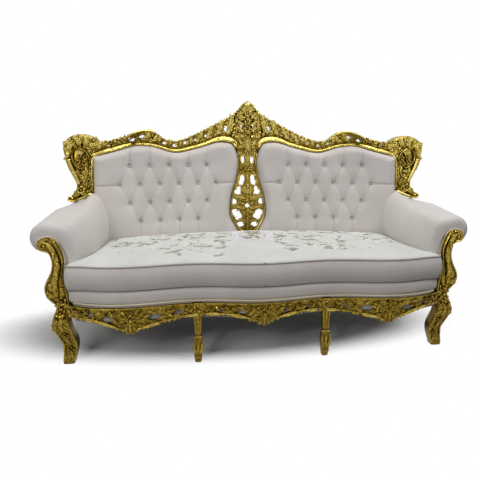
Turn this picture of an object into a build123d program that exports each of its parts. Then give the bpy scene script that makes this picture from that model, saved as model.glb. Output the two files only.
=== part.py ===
from build123d import *
import os
from math import cos, radians, sin, sqrt

# A three-seat show-wood sofa in the rococo manner: a carved and gilt hardwood frame with a crested,
# pierced back, two buttoned back panels, rolled arms and one loose bench cushion on a webbed deck.
# X runs along the seat, Y from front to back and Z up. The origin is on the floor, under the middle.
# Right-hand pieces are made on +X and mirrored for the left. All sizes are millimetres.

# Levels, from the floor up
GLIDE_HEIGHT = 5
RAIL_TOP = 296
RAIL_HEIGHT = 62
WEB_THICK = 3
HESSIAN_THICK = 2
DECK_THICK = 60
REST_GAP = 0.3  # between the loose cushion and the deck
CUSHION_HEIGHT = 122
CUSHION_CROWN = 22
RAIL_BASE = RAIL_TOP - RAIL_HEIGHT
DECK_BASE = RAIL_TOP + WEB_THICK + HESSIAN_THICK
DECK_TOP = DECK_BASE + DECK_THICK
CUSHION_BASE = DECK_TOP + REST_GAP

# Serpentine front: where the upholstery line passes, as (x, y) on the right half
FRONT_CENTRE = (0, -415)
FRONT_WAIST = (306, -380)
FRONT_BAY = (625, -413)
FRONT_CORNER = (880, -352)

# Back: a cylinder with a raked axis. Depths are measured from the front face of the show wood, and
# BACK_Y is where that face crosses the deck level on the middle line.
BACK_RADIUS = 2600
BACK_Y = 313
BACK_RAKE = 5.5
FRAME_THICK = 48
CARVING_PROUD = 12
CARTOUCHE_PROUD = 24
PAD_DEPTH = 52
PAD_REBATE = 8
BOARD_THICK = 5
COVER_THICK = 5
PAD_CROWN = 24

# Back panel seen from the front, as (x, height over the deck): splat side, top edge and outer side
PANEL_INNER = [(52, 0), (62, 109), (109, 209), (106, 314), (70, 449), (60, 560)]
PANEL_TOP = [(100, 644), (150, 653), (300, 617), (430, 592), (565, 628), (640, 633), (760, 602), (873, 574)]
PANEL_ELBOW = 377
PANEL_FOOT_X = 850
PANEL_SIDE_X = PANEL_TOP[-1][0]

# Crest and ears seen from the front, as (x, height over the deck)
CARTOUCHE_HALF = 75
CARTOUCHE_FOOT = 614
CARTOUCHE_TIP = 894
CREST_SHOULDER = 829
EAR_JOINT = (850, 665)
CREST_TOP = [
    (CARTOUCHE_HALF, CREST_SHOULDER), (200, 764), (320, 703), (430, 667), (490, 677), (545, 717), (605, 727),
    (680, 705), (760, 675), EAR_JOINT,
]
EAR_CURVE = [
    EAR_JOINT, (885, 687), (930, 698), (980, 684), (1013, 640), (1008, 582), (990, 514), (969, 462),
    (956, 410), (970, 380), (1003, 350),
]
EAR_FOOT = (984, 339)
EAR_HOLES = [(945, 612, 0.8), (938, 545, 0.8), (930, 475, 0.5)]
PIERCED_PITCH = 62
PIERCED_LENGTH = 40
PIERCED_SHARE = 0.30  # hole height over the height of the band that it pierces
SPLAT_RIM = 15
SPLAT_STEM = 24
SPLAT_WINDOW = (96, 594)
SPLAT_LEAVES = [(229, 70, -24), (279, 62, 28), (384, 52, 35), (489, 40, 30)]  # height, length, tilt

# Buttoning: rows of (height over the deck, buttons), pitched evenly about the panel's middle
BUTTON_ROWS = [(519, 5), (413, 6), (307, 5), (202, 4)]
BUTTON_PITCH = 109
BUTTON_MIDDLE_X = 465
BUTTON_RADIUS = 10
BUTTON_HEIGHT = 9
TUFT_DEPTH = 30
TUFT_FLOOR = 12
TUFT_MOUTH = 34
PLEAT_DEPTH = 9
PLEAT_WIDTH = 20

# Seat plan between the arms
SEAT_SIDE_MID = (818, -150)
SEAT_SIDE_REAR = (796, 30)
SEAT_CORNER_MID = (776, 128)
SEAT_REAR_X = 700
CUSHION_GAP = 4
BOXING_SWELL = 8
WELT_SIZE = 9
CORE_INSET = 14

# Rolled arms: (y, inner face x, roll centre x, its height over the rail, roll radius, outer panel x)
ARM_FRONT_Y = -303
ARM_SECTIONS = [
    (ARM_FRONT_Y, 862, 985, 302, 70, 930),
    (-110, 812, 977, 322, 69, 925),
    (190, 800, 960, 356, 68, 925),
]
ARM_RAIL_SIZE = 38
ARM_POST_THICK = 50
ARM_POST_OUTER = [
    (950, 0), (984, 39), (992, 69), (962, 149), (953, 187), (972, 245), (1000, 252), (1012, 284), (965, 310),
    (932, 298),
]
ARM_POST_INNER = [ARM_POST_OUTER[-1], (902, 214), (906, 144), (890, 44), (884, 0)]

# Legs: the corner ones as (x, y, share of the leg's height, width), the middle ones as (share, width)
CORNER_LEG = [
    (917, -328, 1, 64), (922, -336, 0.82, 70), (925, -342, 0.67, 74), (908, -334, 0.5, 68),
    (893, -322, 0.33, 60), (896, -322, 0.17, 56), (904, -330, 0, 50),
]
MIDDLE_LEG = [(1, 46), (0.81, 44), (0.44, 28), (0.42, 34), (0.27, 42), (0.12, 38), (0, 30)]
REAR_LEG_TOP = 46
REAR_LEG_FOOT = 36
REAR_LEG_RAKE = 45
REAR_POST_WIDTH = 52
REAR_POST_TOP = 417
GLIDE_RADIUS = 11

# Seat frame
APRON_PROUD = 20
APRON_BACK = 6
SHELL_PROUD = 10
FRONT_RAIL_THICK = 34
SIDE_RAIL_X = 868
SIDE_RAIL_THICK = 32
SIDE_APRON_THICK = 22
SIDE_APRON_DROP = 34
REAR_RAIL_THICK = 36
SILL_SETBACK = 20
CROSS_RAIL_WIDTH = 32
CROSS_RAIL_HEIGHT = 46
BLOCK_SIZE = 74
BLOCK_HEIGHT = 44
SCREW_RADIUS = 3
SCREW_LENGTH = 52
SCREW_SPACING = 22
DOWEL_RADIUS = 5
DOWEL_LENGTH = 44
WEB_WIDTH = 55
WEB_PITCH = 118
WEB_COUNT = 13
WEB_INSET = 8
GIMP_HEIGHT = 12
GIMP_THICK = 4
DUST_COVER_THICK = 2
DUST_COVER_LAP = 14  # on the rails' undersides

# Apron edges seen from the front, as (distance from the bay's start, drop under the rail's top)
APRON_BAY = [(0, 60), (70, 66), (170, 84), (255, 104), (300, 118), (345, 102), (425, 72), (560, 56)]
APRON_MIDDLE = [(0, 104), (45, 86), (100, 70), (170, 60), (290, 58)]

REACH = 1500  # longer than anything that it cuts
LEAN_SIN = sin(radians(BACK_RAKE))
LEAN_COS = cos(radians(BACK_RAKE))
BACK_VIEW = Plane((0, 0, DECK_TOP), x_dir=(1, 0, 0), z_dir=(0, -1, 0))
RAIL_VIEW = Plane((0, 0, RAIL_TOP), x_dir=(1, 0, 0), z_dir=(0, -1, 0))


def mirrored(shape):
    """The left-hand twin of a right-hand piece."""
    return mirror(shape, about=Plane.YZ)


def flipped(points):
    """Points of the right half, as points of the left half in the opposite order."""
    return [(-x, y) for x, y in reversed(points)]


def level(points, x):
    """Height of a polyline of (x, height) points at x."""
    for (x0, z0), (x1, z1) in zip(points, points[1:]):
        if x0 <= x <= x1:
            return z0 + (z1 - z0) * (x - x0) / (x1 - x0)
    return points[-1][1]


def through(face):
    """The prism that a face seen from the front sweeps from front to back."""
    return extrude(face, REACH, both=True)


def slab(x0, x1, y0, y1, z0, z1):
    """A box between two corners."""
    return Pos((x0 + x1) / 2, (y0 + y1) / 2, (z0 + z1) / 2) * Box(x1 - x0, y1 - y0, z1 - z0)


def between(solid, x0, x1):
    """The part of a solid between two x planes."""
    return solid & slab(x0, x1, -REACH, REACH, -REACH, REACH)


def largest(shape):
    """The main face of a cut outline."""
    return max(shape.faces(), key=lambda f: f.area)


# The back's bent, raked layers

def back_layer(ahead, behind):
    """The layer from ahead of the show-wood face to behind it."""
    edges = []
    for radius in (BACK_RADIUS - ahead, BACK_RADIUS + behind):
        end = sqrt(radius**2 - REACH**2) - BACK_RADIUS
        edges.append(ThreePointArc((-REACH, end), (0, radius - BACK_RADIUS), (REACH, end)))
    near, far = edges
    edges += [Line(near @ 0, far @ 0), Line(near @ 1, far @ 1)]
    lean = Plane((0, BACK_Y, DECK_TOP), x_dir=(1, 0, 0), z_dir=(0, LEAN_SIN, LEAN_COS))
    return extrude(lean * make_face(edges), REACH, both=True)


def back_point(x, height, ahead):
    """A point that stands ahead of the show-wood face, at a height over the deck."""
    bend = sqrt((BACK_RADIUS - ahead) ** 2 - x * x) - BACK_RADIUS
    rise = (height + bend * LEAN_SIN) / LEAN_COS
    return Vector(x, BACK_Y + bend * LEAN_COS + rise * LEAN_SIN, DECK_TOP + height)


def back_normal(x):
    """The way the back faces at x."""
    turn = sqrt(1 - (x / BACK_RADIUS) ** 2)
    return Vector(-x / BACK_RADIUS, -turn * LEAN_COS, turn * LEAN_SIN)


def panel_face():
    """The right back panel, seen from the front."""
    corner, foot = PANEL_TOP[-1], PANEL_INNER[0]
    sides = Polyline(corner, (corner[0], PANEL_ELBOW), (PANEL_FOOT_X, foot[1]), foot)
    return BACK_VIEW * make_face([Spline(*PANEL_INNER, *PANEL_TOP), sides])


def pierced(face, view, top, foot, start, stop):
    """A carved band with a row of oval holes between its two edges."""
    count = max(1, round((stop - start) / PIERCED_PITCH))
    for i in range(count):
        x = start + (i + 0.5) * (stop - start) / count
        high, low = level(top, x), level(foot, x)
        hole = Ellipse(PIERCED_LENGTH / 2, (high - low) * PIERCED_SHARE / 2)
        face -= view * Pos(x, low + (high - low) * 0.55) * hole
    return face


def crest_rail():
    """The pierced rail from the middle cartouche to the ear, resting on the panel's top edge."""
    first, last = CREST_TOP[0], CREST_TOP[-1]
    sides = Polyline(last, (last[0], PANEL_ELBOW), (first[0], PANEL_ELBOW), first)
    face = largest(BACK_VIEW * make_face([Spline(*CREST_TOP), sides]) - panel_face())
    margin = DOWEL_LENGTH / 2
    face = pierced(face, BACK_VIEW, CREST_TOP, PANEL_TOP, first[0] + margin, last[0] - margin)
    return through(face) & back_layer(CARVING_PROUD, FRAME_THICK)


def cartouche():
    """The carved block at the middle of the crest."""
    half, foot = CARTOUCHE_HALF, CARTOUCHE_FOOT
    brow = (CREST_SHOULDER + CARTOUCHE_TIP) / 2
    right = [(half, CREST_SHOULDER), (half * 0.58, brow), (0, CARTOUCHE_TIP)]
    sides = Polyline((-half, CREST_SHOULDER), (-half, foot), (half, foot), (half, CREST_SHOULDER))
    face = BACK_VIEW * make_face([Spline(*right, *flipped(right)[1:]), sides])
    face = largest(face - panel_face() - mirrored(panel_face()))
    eye = (foot + CARTOUCHE_TIP) / 2
    for x in (-half / 2, half / 2):
        face -= BACK_VIEW * Pos(x, eye) * Ellipse(PIERCED_LENGTH / 5, PIERCED_LENGTH / 2)
    return through(face) & back_layer(CARTOUCHE_PROUD, FRAME_THICK)


def ear():
    """The carved ear at the end of the crest, with the curled foot that sits on the arm."""
    low = (PANEL_ELBOW + EAR_JOINT[1]) / 2
    inner = [(PANEL_SIDE_X, PANEL_ELBOW), (PANEL_SIDE_X, low), (EAR_JOINT[0], low)]
    sides = Polyline(EAR_CURVE[-1], EAR_FOOT, *inner, EAR_JOINT)
    face = largest(BACK_VIEW * make_face([Spline(*EAR_CURVE), sides]) - panel_face())
    for x, height, size in EAR_HOLES:
        face -= BACK_VIEW * Pos(x, height) * Ellipse(PIERCED_LENGTH * size / 3, PIERCED_LENGTH * size / 1.6)
    return through(face) & back_layer(CARVING_PROUD, FRAME_THICK)


def splat_faces():
    """The pear-shaped rim between the two panels, and the carved spray inside it."""
    wide = max(x for x, _ in PANEL_INNER) + SPLAT_RIM
    whole = BACK_VIEW * Pos(0, CARTOUCHE_FOOT / 2) * Rectangle(2 * wide, CARTOUCHE_FOOT)
    whole = largest(whole - panel_face() - mirrored(panel_face()))
    low, high = SPLAT_WINDOW
    pane = BACK_VIEW * Pos(0, (low + high) / 2) * Rectangle(2 * wide, high - low)
    right = [(x - SPLAT_RIM, z) for x, z in [*PANEL_INNER, PANEL_TOP[0]]]
    curve, other = Spline(*right), Spline(*flipped(right))
    ends = [Line(curve @ 1, other @ 0), Line(other @ 1, curve @ 0)]
    window = BACK_VIEW * make_face([curve, other, *ends]) & pane
    spray = BACK_VIEW * Pos(0, (low + high) / 2) * Rectangle(SPLAT_STEM, high - low)
    for height, long, tilt in SPLAT_LEAVES:
        for side in (-1, 1):
            blade = Rot(0, 0, side * tilt) * Ellipse(long, SPLAT_STEM * 0.42)
            spray += BACK_VIEW * Pos(side * long, height) * blade
        spray += BACK_VIEW * Pos(0, height) * Circle(SPLAT_STEM)
    return whole - window, spray & window


def button_spots():
    """Each row's button places, as (x, height) on the right panel."""
    rows = []
    for height, count in BUTTON_ROWS:
        start = BUTTON_MIDDLE_X - BUTTON_PITCH * (count - 1) / 2
        rows.append([(start + BUTTON_PITCH * i, height) for i in range(count)])
    return rows


def pleat_runs(spots):
    """Pairs of places that a pleat joins: the diamonds, then out to the top, the foot and the two sides."""
    runs = []
    for upper, lower in zip(spots, spots[1:]):
        for a in upper:
            runs += [(a, b) for b in lower if abs(a[0] - b[0]) < BUTTON_PITCH * 0.6]
    runs += [(a, (a[0], level(PANEL_TOP, a[0]))) for a in spots[0]]
    runs += [(a, (a[0], PANEL_INNER[0][1])) for a in spots[-1]]
    widest = max(spots, key=len)
    inner = min(x for x, _ in PANEL_INNER)
    return runs + [(widest[-1], (PANEL_SIDE_X, widest[-1][1])), (widest[0], (inner, widest[0][1]))]


def pleat(a, b):
    """The V-shaped trough that the cover folds into between two places."""
    start, stop = (back_point(x, height, PAD_DEPTH) for x, height in (a, b))
    start += (stop - start).normalized() * TUFT_FLOOR
    along = stop - start
    across = back_normal((a[0] + b[0]) / 2).cross(along).normalized()
    lip = PLEAT_DEPTH / 2
    profile = Polyline((0, -PLEAT_DEPTH), (PLEAT_WIDTH / 2, lip), (-PLEAT_WIDTH / 2, lip), close=True)
    return extrude(Plane(start, x_dir=across, z_dir=along.normalized()) * make_face(profile), along.length)


def back_panel_layers():
    """The buttoned pad, the board behind it, the outside cover and the buttons, for the right panel."""
    block = through(panel_face())
    pad = block & back_layer(PAD_DEPTH, PAD_REBATE)
    front = min(sorted(pad.faces(), key=lambda f: -f.area)[:2], key=lambda f: f.center().Y)
    pad = fillet(front.edges(), PAD_CROWN)
    board = block & back_layer(-PAD_REBATE, PAD_REBATE + BOARD_THICK)
    cover = block & back_layer(COVER_THICK - FRAME_THICK, FRAME_THICK)
    upright = (Align.CENTER, Align.CENTER, Align.MIN)
    stud = Cylinder(BUTTON_RADIUS, BUTTON_HEIGHT, align=upright)
    stud = chamfer(stud.edges().group_by(Axis.Z)[-1], BUTTON_HEIGHT / 3)
    mouth = Cone(TUFT_FLOOR, TUFT_MOUTH, TUFT_DEPTH + PLEAT_DEPTH / 2, align=upright)
    spots = button_spots()
    buttons = []
    for row in spots:
        for x, height in row:
            normal = back_normal(x)
            seat = Plane(back_point(x, height, PAD_DEPTH) - normal * TUFT_DEPTH, z_dir=normal)
            pad -= seat * mouth
            buttons.append(seat * stud)
    for a, b in pleat_runs(spots):
        pad -= pleat(a, b)
    return pad, board, cover, buttons


# The serpentine front and the seat's plan

def front_points(inset):
    """The upholstery's front line on the right half, drawn in by a distance."""
    reach = (FRONT_CORNER[0] - inset) / FRONT_CORNER[0]
    return [(x * reach, y + inset) for x, y in (FRONT_CENTRE, FRONT_WAIST, FRONT_BAY, FRONT_CORNER)]


def front_strip(near, far, bottom, top):
    """A strip along the serpentine front, from near to far behind the upholstery line."""
    right = front_points(0)
    line = [*flipped(right)[:-1], *right]
    a, b = (Spline(*[(x, y + behind) for x, y in line]) for behind in (near, far))
    face = make_face([a, b, Line(a @ 1, b @ 1), Line(b @ 0, a @ 0)])
    return Pos(0, 0, bottom) * extrude(face, top - bottom)


def seat_face(inset, ahead=PAD_DEPTH):
    """The seat's plan, drawn in by a distance all round, with its rear edge ahead of the show-wood face."""
    right = front_points(inset)
    radius = BACK_RADIUS - ahead - inset
    centre = BACK_Y - BACK_RADIUS
    rear_x = SEAT_REAR_X - inset
    rear = (rear_x, centre + sqrt(radius**2 - rear_x**2))
    side = (SEAT_SIDE_REAR[0] - inset, SEAT_SIDE_REAR[1])
    side_mid = (SEAT_SIDE_MID[0] - inset, SEAT_SIDE_MID[1])
    corner_mid = (SEAT_CORNER_MID[0] - inset, SEAT_CORNER_MID[1] - inset)
    edges = [ThreePointArc(right[-1], side_mid, side), ThreePointArc(side, corner_mid, rear)]
    edges += [mirrored(edge) for edge in edges]
    edges.append(ThreePointArc(rear, (0, centre + radius), (-rear[0], rear[1])))
    return make_face([Spline(*flipped(right)[:-1], *right), *edges])


def stacked(levels, ahead=PAD_DEPTH):
    """A solid through seat outlines, each given as height, inset and size about the seat's middle."""
    middle = (FRONT_CENTRE[1] + BACK_Y) / 2
    faces = []
    for z, inset, size in levels:
        faces.append(Pos(0, middle, z) * scale(Pos(0, -middle) * seat_face(inset, ahead), by=size))
    return loft(faces, ruled=True)


def cushion_pieces():
    """The wadded cover, the foam core inside it, and the two welts sewn round its edges."""
    base, edge = CUSHION_BASE, CUSHION_GAP
    top = base + CUSHION_HEIGHT
    crown = top + CUSHION_CROWN
    nip = WELT_SIZE / 2
    seam = edge + WELT_SIZE
    outer = stacked([
        (base, seam, 1), (base + nip + WELT_SIZE, edge + BOXING_SWELL, 1), ((base + top) / 2, edge, 1),
        (top - nip - WELT_SIZE, edge + BOXING_SWELL, 1), (top, seam, 1),
        (top + CUSHION_CROWN * 0.5, seam, 0.94), (crown - CUSHION_CROWN * 0.1, seam, 0.82),
        (crown, seam, 0.6),
    ])
    inset = seam + CORE_INSET
    core = stacked([
        (base + CORE_INSET, inset, 1), (top - CORE_INSET, inset, 1), (crown - CORE_INSET, inset, 0.75),
    ])
    ring = seat_face(edge) - seat_face(seam)
    welts = [Pos(0, 0, z) * extrude(ring, WELT_SIZE) for z in (base + nip, top - nip - WELT_SIZE)]
    return outer - core - welts, core, welts


# Arms

def arm_section(y, inner, roll_x, roll_z, radius, outer):
    """One slice of the arm: inner face, roll and outside panel."""
    shoulder = (inner, roll_z - radius * 0.4)
    crown = (roll_x, roll_z + radius)
    swell = (inner + (roll_x - inner) * 0.26, roll_z + radius * 0.62)
    under = (roll_x + radius * 0.5, roll_z - radius * 0.866)
    tuck = (outer, roll_z - radius * 1.25)
    face = make_face([
        Line((inner, 0), shoulder),
        ThreePointArc(shoulder, swell, crown),
        ThreePointArc(crown, (roll_x + radius * 0.966, roll_z + radius * 0.26), under),
        Polyline(under, tuck, (outer, 0), (inner, 0)),
    ])
    return Pos(0, y, 0) * (RAIL_VIEW * face)


def arm_rail():
    """The hardwood rail inside the roll, from the arm post to the back post."""
    ends = []
    for y, _, x, height, _, _ in (ARM_SECTIONS[0], ARM_SECTIONS[-1]):
        ends.append(Pos(0, y, 0) * (RAIL_VIEW * Pos(x, height) * Rectangle(ARM_RAIL_SIZE, ARM_RAIL_SIZE)))
    return loft(ends, ruled=True)


def arm_post():
    """The gilt S-shaped scroll that faces the arm and stands on the corner leg."""
    foot = Line(ARM_POST_INNER[-1], ARM_POST_OUTER[0])
    face = RAIL_VIEW * make_face([Spline(*ARM_POST_OUTER), Spline(*ARM_POST_INNER), foot])
    return Pos(0, ARM_FRONT_Y, 0) * extrude(face, ARM_POST_THICK)


# Legs and aprons

def leg_z(share):
    """A height on a front leg, from its glide to the rail's top."""
    return GLIDE_HEIGHT + share * (RAIL_TOP - GLIDE_HEIGHT)


def corner_leg():
    """The cabriole leg under the arm post."""
    return loft([Pos(x, y, leg_z(share)) * RectangleRounded(w, w, w / 5) for x, y, share, w in CORNER_LEG])


def middle_leg_y():
    """The middle leg's centre, with its face level with the apron shells."""
    return FRONT_WAIST[1] - APRON_PROUD - SHELL_PROUD + MIDDLE_LEG[0][1] / 2


def middle_leg():
    """The straight tapered leg with a bulbed foot, let into the front rail."""
    x, y = FRONT_WAIST[0], middle_leg_y()
    sections = [Pos(x, y, leg_z(share)) * RectangleRounded(w, w, w / 5) for share, w in MIDDLE_LEG]
    return loft(sections, ruled=True)


def rear_leg(x, y):
    """A plain leg, from the rear rail's foot down, that rakes to the rear."""
    top = Pos(x, y, RAIL_BASE) * Rectangle(REAR_LEG_TOP, REAR_LEG_TOP)
    foot = Pos(x, y + REAR_LEG_RAKE, GLIDE_HEIGHT) * Rectangle(REAR_LEG_FOOT, REAR_LEG_FOOT)
    return loft([top, foot], ruled=True)


def rear_leg_y(x, depth):
    """Where a rear leg stands under the middle of a rail or post of that depth."""
    return back_point(x, RAIL_BASE - DECK_TOP, -depth / 2).Y


def apron_bay(points, start):
    """One pierced, carved bay of the front apron, as far as its points go."""
    low = [(start + x, -drop) for x, drop in points]
    top = [(low[-1][0], 0), (low[0][0], 0)]
    face = RAIL_VIEW * make_face([Spline(*low), Polyline(low[-1], *top, low[0])])
    margin = MIDDLE_LEG[0][1]
    face = pierced(face, RAIL_VIEW, top[::-1], low, low[0][0] + margin, low[-1][0] - margin)
    return through(face) & front_strip(-APRON_PROUD, APRON_BACK, 0, RAIL_TOP)


def apron_shell(x, drop):
    """The carved shell at the lowest point of an apron bay, glued on the apron's face."""
    half, high, middle = drop * 0.42, -drop * 0.25, -drop * 0.62
    right = [(0, -drop), (half * 0.8, middle), (half, high)]
    edges = [Spline(*flipped(right)[:-1], *right), Line((half, high), (-half, high))]
    face = RAIL_VIEW * Pos(x, 0) * make_face(edges)
    return through(face) & front_strip(-APRON_PROUD - SHELL_PROUD, -APRON_PROUD, 0, RAIL_TOP)


def corner_block(y, run):
    """A glue block in the angle between a side rail and the rail that crosses it at y."""
    corner = (SIDE_RAIL_X, y)
    face = make_face(Polyline(corner, (SIDE_RAIL_X - BLOCK_SIZE, y), (SIDE_RAIL_X, y + run), close=True))
    return Pos(0, 0, RAIL_BASE) * extrude(face, BLOCK_HEIGHT)


def block_screws(y):
    """Two screws from a glue block into the side rail."""
    middle = RAIL_BASE + BLOCK_HEIGHT / 2
    shank = Rot(0, 90, 0) * Cylinder(SCREW_RADIUS, SCREW_LENGTH)
    x = SIDE_RAIL_X + SIDE_RAIL_THICK * 0.75 - SCREW_LENGTH / 2
    return [Pos(x, y, middle + side * SCREW_SPACING / 2) * shank for side in (-1, 1)]


def dowel(x, height, axis):
    """A dowel in the thickness of the back frame, along X or up the back."""
    pin = Cylinder(DOWEL_RADIUS, DOWEL_LENGTH)
    middle = back_point(x, height, -FRAME_THICK / 2)
    return Pos(*middle) * (Rot(0, 90, 0) * pin if axis == "along" else Rot(-BACK_RAKE, 0, 0) * pin)


pieces = {}


def pair(name, right):
    """Keeps a right-hand piece, or a group of solids, and its left-hand twin."""
    group = right if isinstance(right, list) else [right]
    pieces[f"{name}_right"] = group
    pieces[f"{name}_left"] = [mirrored(solid) for solid in group]


# Back: crest, ears, splat and panels
shoulder_dowels = [dowel(CARTOUCHE_HALF, CARTOUCHE_FOOT + share * (CREST_SHOULDER - CARTOUCHE_FOOT), "along")
                   for share in (0.35, 0.75)]
ear_dowels = [
    dowel(EAR_JOINT[0], (EAR_JOINT[1] + PANEL_TOP[-1][1]) / 2, "along"),
    dowel(PANEL_SIDE_X + REAR_POST_WIDTH / 2, REAR_POST_TOP, "up"),
]
back_dowels = shoulder_dowels + ear_dowels
ear_right = ear()
post = between(back_layer(0, FRAME_THICK), PANEL_SIDE_X, PANEL_SIDE_X + REAR_POST_WIDTH)
post = post & slab(0, REACH, -REACH, REACH, RAIL_BASE, DECK_TOP + REAR_POST_TOP)
post_x = PANEL_SIDE_X + REAR_POST_WIDTH / 2
post_y = rear_leg_y(post_x, FRAME_THICK)
stub = between(back_layer(0, FRAME_THICK), post_x - REAR_LEG_TOP / 2, post_x + REAR_LEG_TOP / 2)
stub = stub & slab(0, REACH, -REACH, REACH, RAIL_BASE - RAIL_HEIGHT / 4, RAIL_TOP)
post = rear_leg(post_x, post_y) + stub + post - back_dowels
ear_right = ear_right - post - back_dowels
pair("crest_rail", crest_rail() - back_dowels)
pair("ear", ear_right)
pair("rear_post", post)
both_dowels = back_dowels + [mirrored(pin) for pin in back_dowels]
pieces["crest_cartouche"] = [cartouche() - both_dowels]
pieces["frame_dowels"] = both_dowels
rim_face, spray_face = splat_faces()
pieces["splat_rim"] = [through(rim_face) & back_layer(0, FRAME_THICK)]
pieces["splat_spray"] = [through(spray_face) & back_layer(CARVING_PROUD / 2, FRAME_THICK * 0.6)]
pad, board, cover, buttons = back_panel_layers()
pair("back_pad", pad)
pair("back_board", board)
pair("back_cover", cover)
pair("tuft_buttons", buttons)

# Legs and seat frame
leg, waist_leg = corner_leg(), middle_leg()
waist_y = rear_leg_y(FRONT_WAIST[0], REAR_RAIL_THICK)
pair("corner_leg", leg)
pair("middle_leg", waist_leg)
rear_leg_right = rear_leg(FRONT_WAIST[0], waist_y)
pair("rear_middle_leg", rear_leg_right)
front_legs = [leg, waist_leg, mirrored(leg), mirrored(waist_leg)]

behind_rails = back_layer(0, REACH)
rail_back = APRON_BACK + FRONT_RAIL_THICK
front_rail = between(front_strip(APRON_BACK, rail_back, RAIL_BASE, RAIL_TOP), -SIDE_RAIL_X, SIDE_RAIL_X)
front_rail = front_rail - front_legs
rear_span = slab(-PANEL_SIDE_X, PANEL_SIDE_X, -REACH, REACH, RAIL_BASE, RAIL_TOP)
sill_span = slab(-PANEL_SIDE_X, PANEL_SIDE_X, -REACH, REACH, RAIL_TOP, DECK_TOP)
rear_rail = rear_span & back_layer(0, REAR_RAIL_THICK)
pieces["front_rail"] = [front_rail]
pieces["rear_rail"] = [rear_rail]
pieces["back_sill"] = [sill_span & back_layer(-SILL_SETBACK, REAR_RAIL_THICK)]

rear_corner_y = back_point(SIDE_RAIL_X, RAIL_BASE - DECK_TOP, 0).Y
front_corner_y = FRONT_CORNER[1] + rail_back
screw_step = BLOCK_SIZE * 0.4
screws = block_screws(front_corner_y + screw_step) + block_screws(rear_corner_y - screw_step)
side_rail = slab(SIDE_RAIL_X, SIDE_RAIL_X + SIDE_RAIL_THICK, CORNER_LEG[0][1], BACK_Y, RAIL_BASE, RAIL_TOP)
pair("side_rail", side_rail - leg - behind_rails - screws)
blocks = [corner_block(front_corner_y, BLOCK_SIZE), corner_block(rear_corner_y, -BLOCK_SIZE)]
blocks = [block - front_rail - leg - behind_rails - screws for block in blocks]
pieces["corner_blocks"] = blocks + [mirrored(block) for block in blocks]
pieces["block_screws"] = screws + [mirrored(screw) for screw in screws]
cross = slab(
    FRONT_WAIST[0] - CROSS_RAIL_WIDTH / 2, FRONT_WAIST[0] + CROSS_RAIL_WIDTH / 2,
    FRONT_WAIST[1], BACK_Y, RAIL_BASE, RAIL_BASE + CROSS_RAIL_HEIGHT,
)
pair("cross_rail", cross - front_strip(-REACH, rail_back, 0, RAIL_TOP) - waist_leg - behind_rails)

side_start, side_stop = FRONT_CORNER[1], BACK_Y
side_face = make_face([
    Polyline((side_start, RAIL_BASE), (side_start, RAIL_TOP), (side_stop, RAIL_TOP), (side_stop, RAIL_BASE)),
    ThreePointArc((side_stop, RAIL_BASE), (0, RAIL_BASE - SIDE_APRON_DROP), (side_start, RAIL_BASE)),
])
side_apron = Pos(SIDE_RAIL_X + SIDE_RAIL_THICK, 0, 0) * extrude(Plane.YZ * side_face, SIDE_APRON_THICK)
pair("side_apron", side_apron - leg - behind_rails)
pair("front_apron", apron_bay(APRON_BAY, FRONT_WAIST[0]) - leg - waist_leg)
middle_edge = [(-x, drop) for x, drop in reversed(APRON_MIDDLE[1:])] + APRON_MIDDLE
pieces["front_apron_middle"] = [apron_bay(middle_edge, 0) - front_legs]
shell_x, shell_drop = max(APRON_BAY, key=lambda p: p[1])
shells = [apron_shell(0, APRON_MIDDLE[0][1]), apron_shell(FRONT_WAIST[0] + shell_x, shell_drop)]
pieces["apron_shells"] = shells + [mirrored(shells[1])]

# Seat: webbing, hessian, deck, cushion and trimmings
web_face = seat_face(WEB_INSET, -SILL_SETBACK)
web_area = Pos(0, 0, RAIL_TOP) * extrude(web_face, WEB_THICK)
straps = []
for i in range(WEB_COUNT):
    x = (i - (WEB_COUNT - 1) / 2) * WEB_PITCH
    straps.append(between(web_area, x - WEB_WIDTH / 2, x + WEB_WIDTH / 2))
pieces["seat_webbing"] = straps
pieces["seat_hessian"] = [Pos(0, 0, RAIL_TOP + WEB_THICK) * extrude(web_face, HESSIAN_THICK)]
nip = DECK_THICK * 0.15
deck_levels = [(DECK_BASE, nip, 1), (DECK_BASE + nip, 0, 1), (DECK_TOP - nip, 0, 1), (DECK_TOP, nip, 1)]
pieces["deck_pad"] = [stacked(deck_levels, nip - SILL_SETBACK)]
cushion_cover, cushion_core, welts = cushion_pieces()
pieces["cushion_cover"] = [cushion_cover]
pieces["cushion_core"] = [cushion_core]
pieces["cushion_welt_lower"], pieces["cushion_welt_upper"] = [[welt] for welt in welts]
pieces["front_gimp"] = [front_strip(-GIMP_THICK, 0, RAIL_TOP, RAIL_TOP + GIMP_HEIGHT)]
dust_x = SIDE_RAIL_X + DUST_COVER_LAP
dust = slab(-dust_x, dust_x, -REACH, REACH, RAIL_BASE - DUST_COVER_THICK, RAIL_BASE)
dust -= [front_strip(-REACH, rail_back - DUST_COVER_LAP, 0, RAIL_TOP), back_layer(-DUST_COVER_LAP, REACH)]
past_corner = slab(FRONT_CORNER[0], REACH, -REACH, front_corner_y - DUST_COVER_LAP, 0, RAIL_TOP)
dust -= [past_corner, mirrored(past_corner)]
rear_legs = [post, mirrored(post), rear_leg_right, mirrored(rear_leg_right)]
pieces["dust_cover"] = [max((dust - front_legs - rear_legs).solids(), key=lambda solid: solid.volume)]

# Arms
rail_right = arm_rail() - behind_rails
arm = loft([arm_section(*section) for section in ARM_SECTIONS])
seat_room = Pos(0, 0, RAIL_TOP) * extrude(seat_face(0), REACH)
pair("arm_rail", rail_right)
pair("arm_post", arm_post())
pair("arm_pad", arm - behind_rails - seat_room - pad - ear_right - rail_right)

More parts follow.
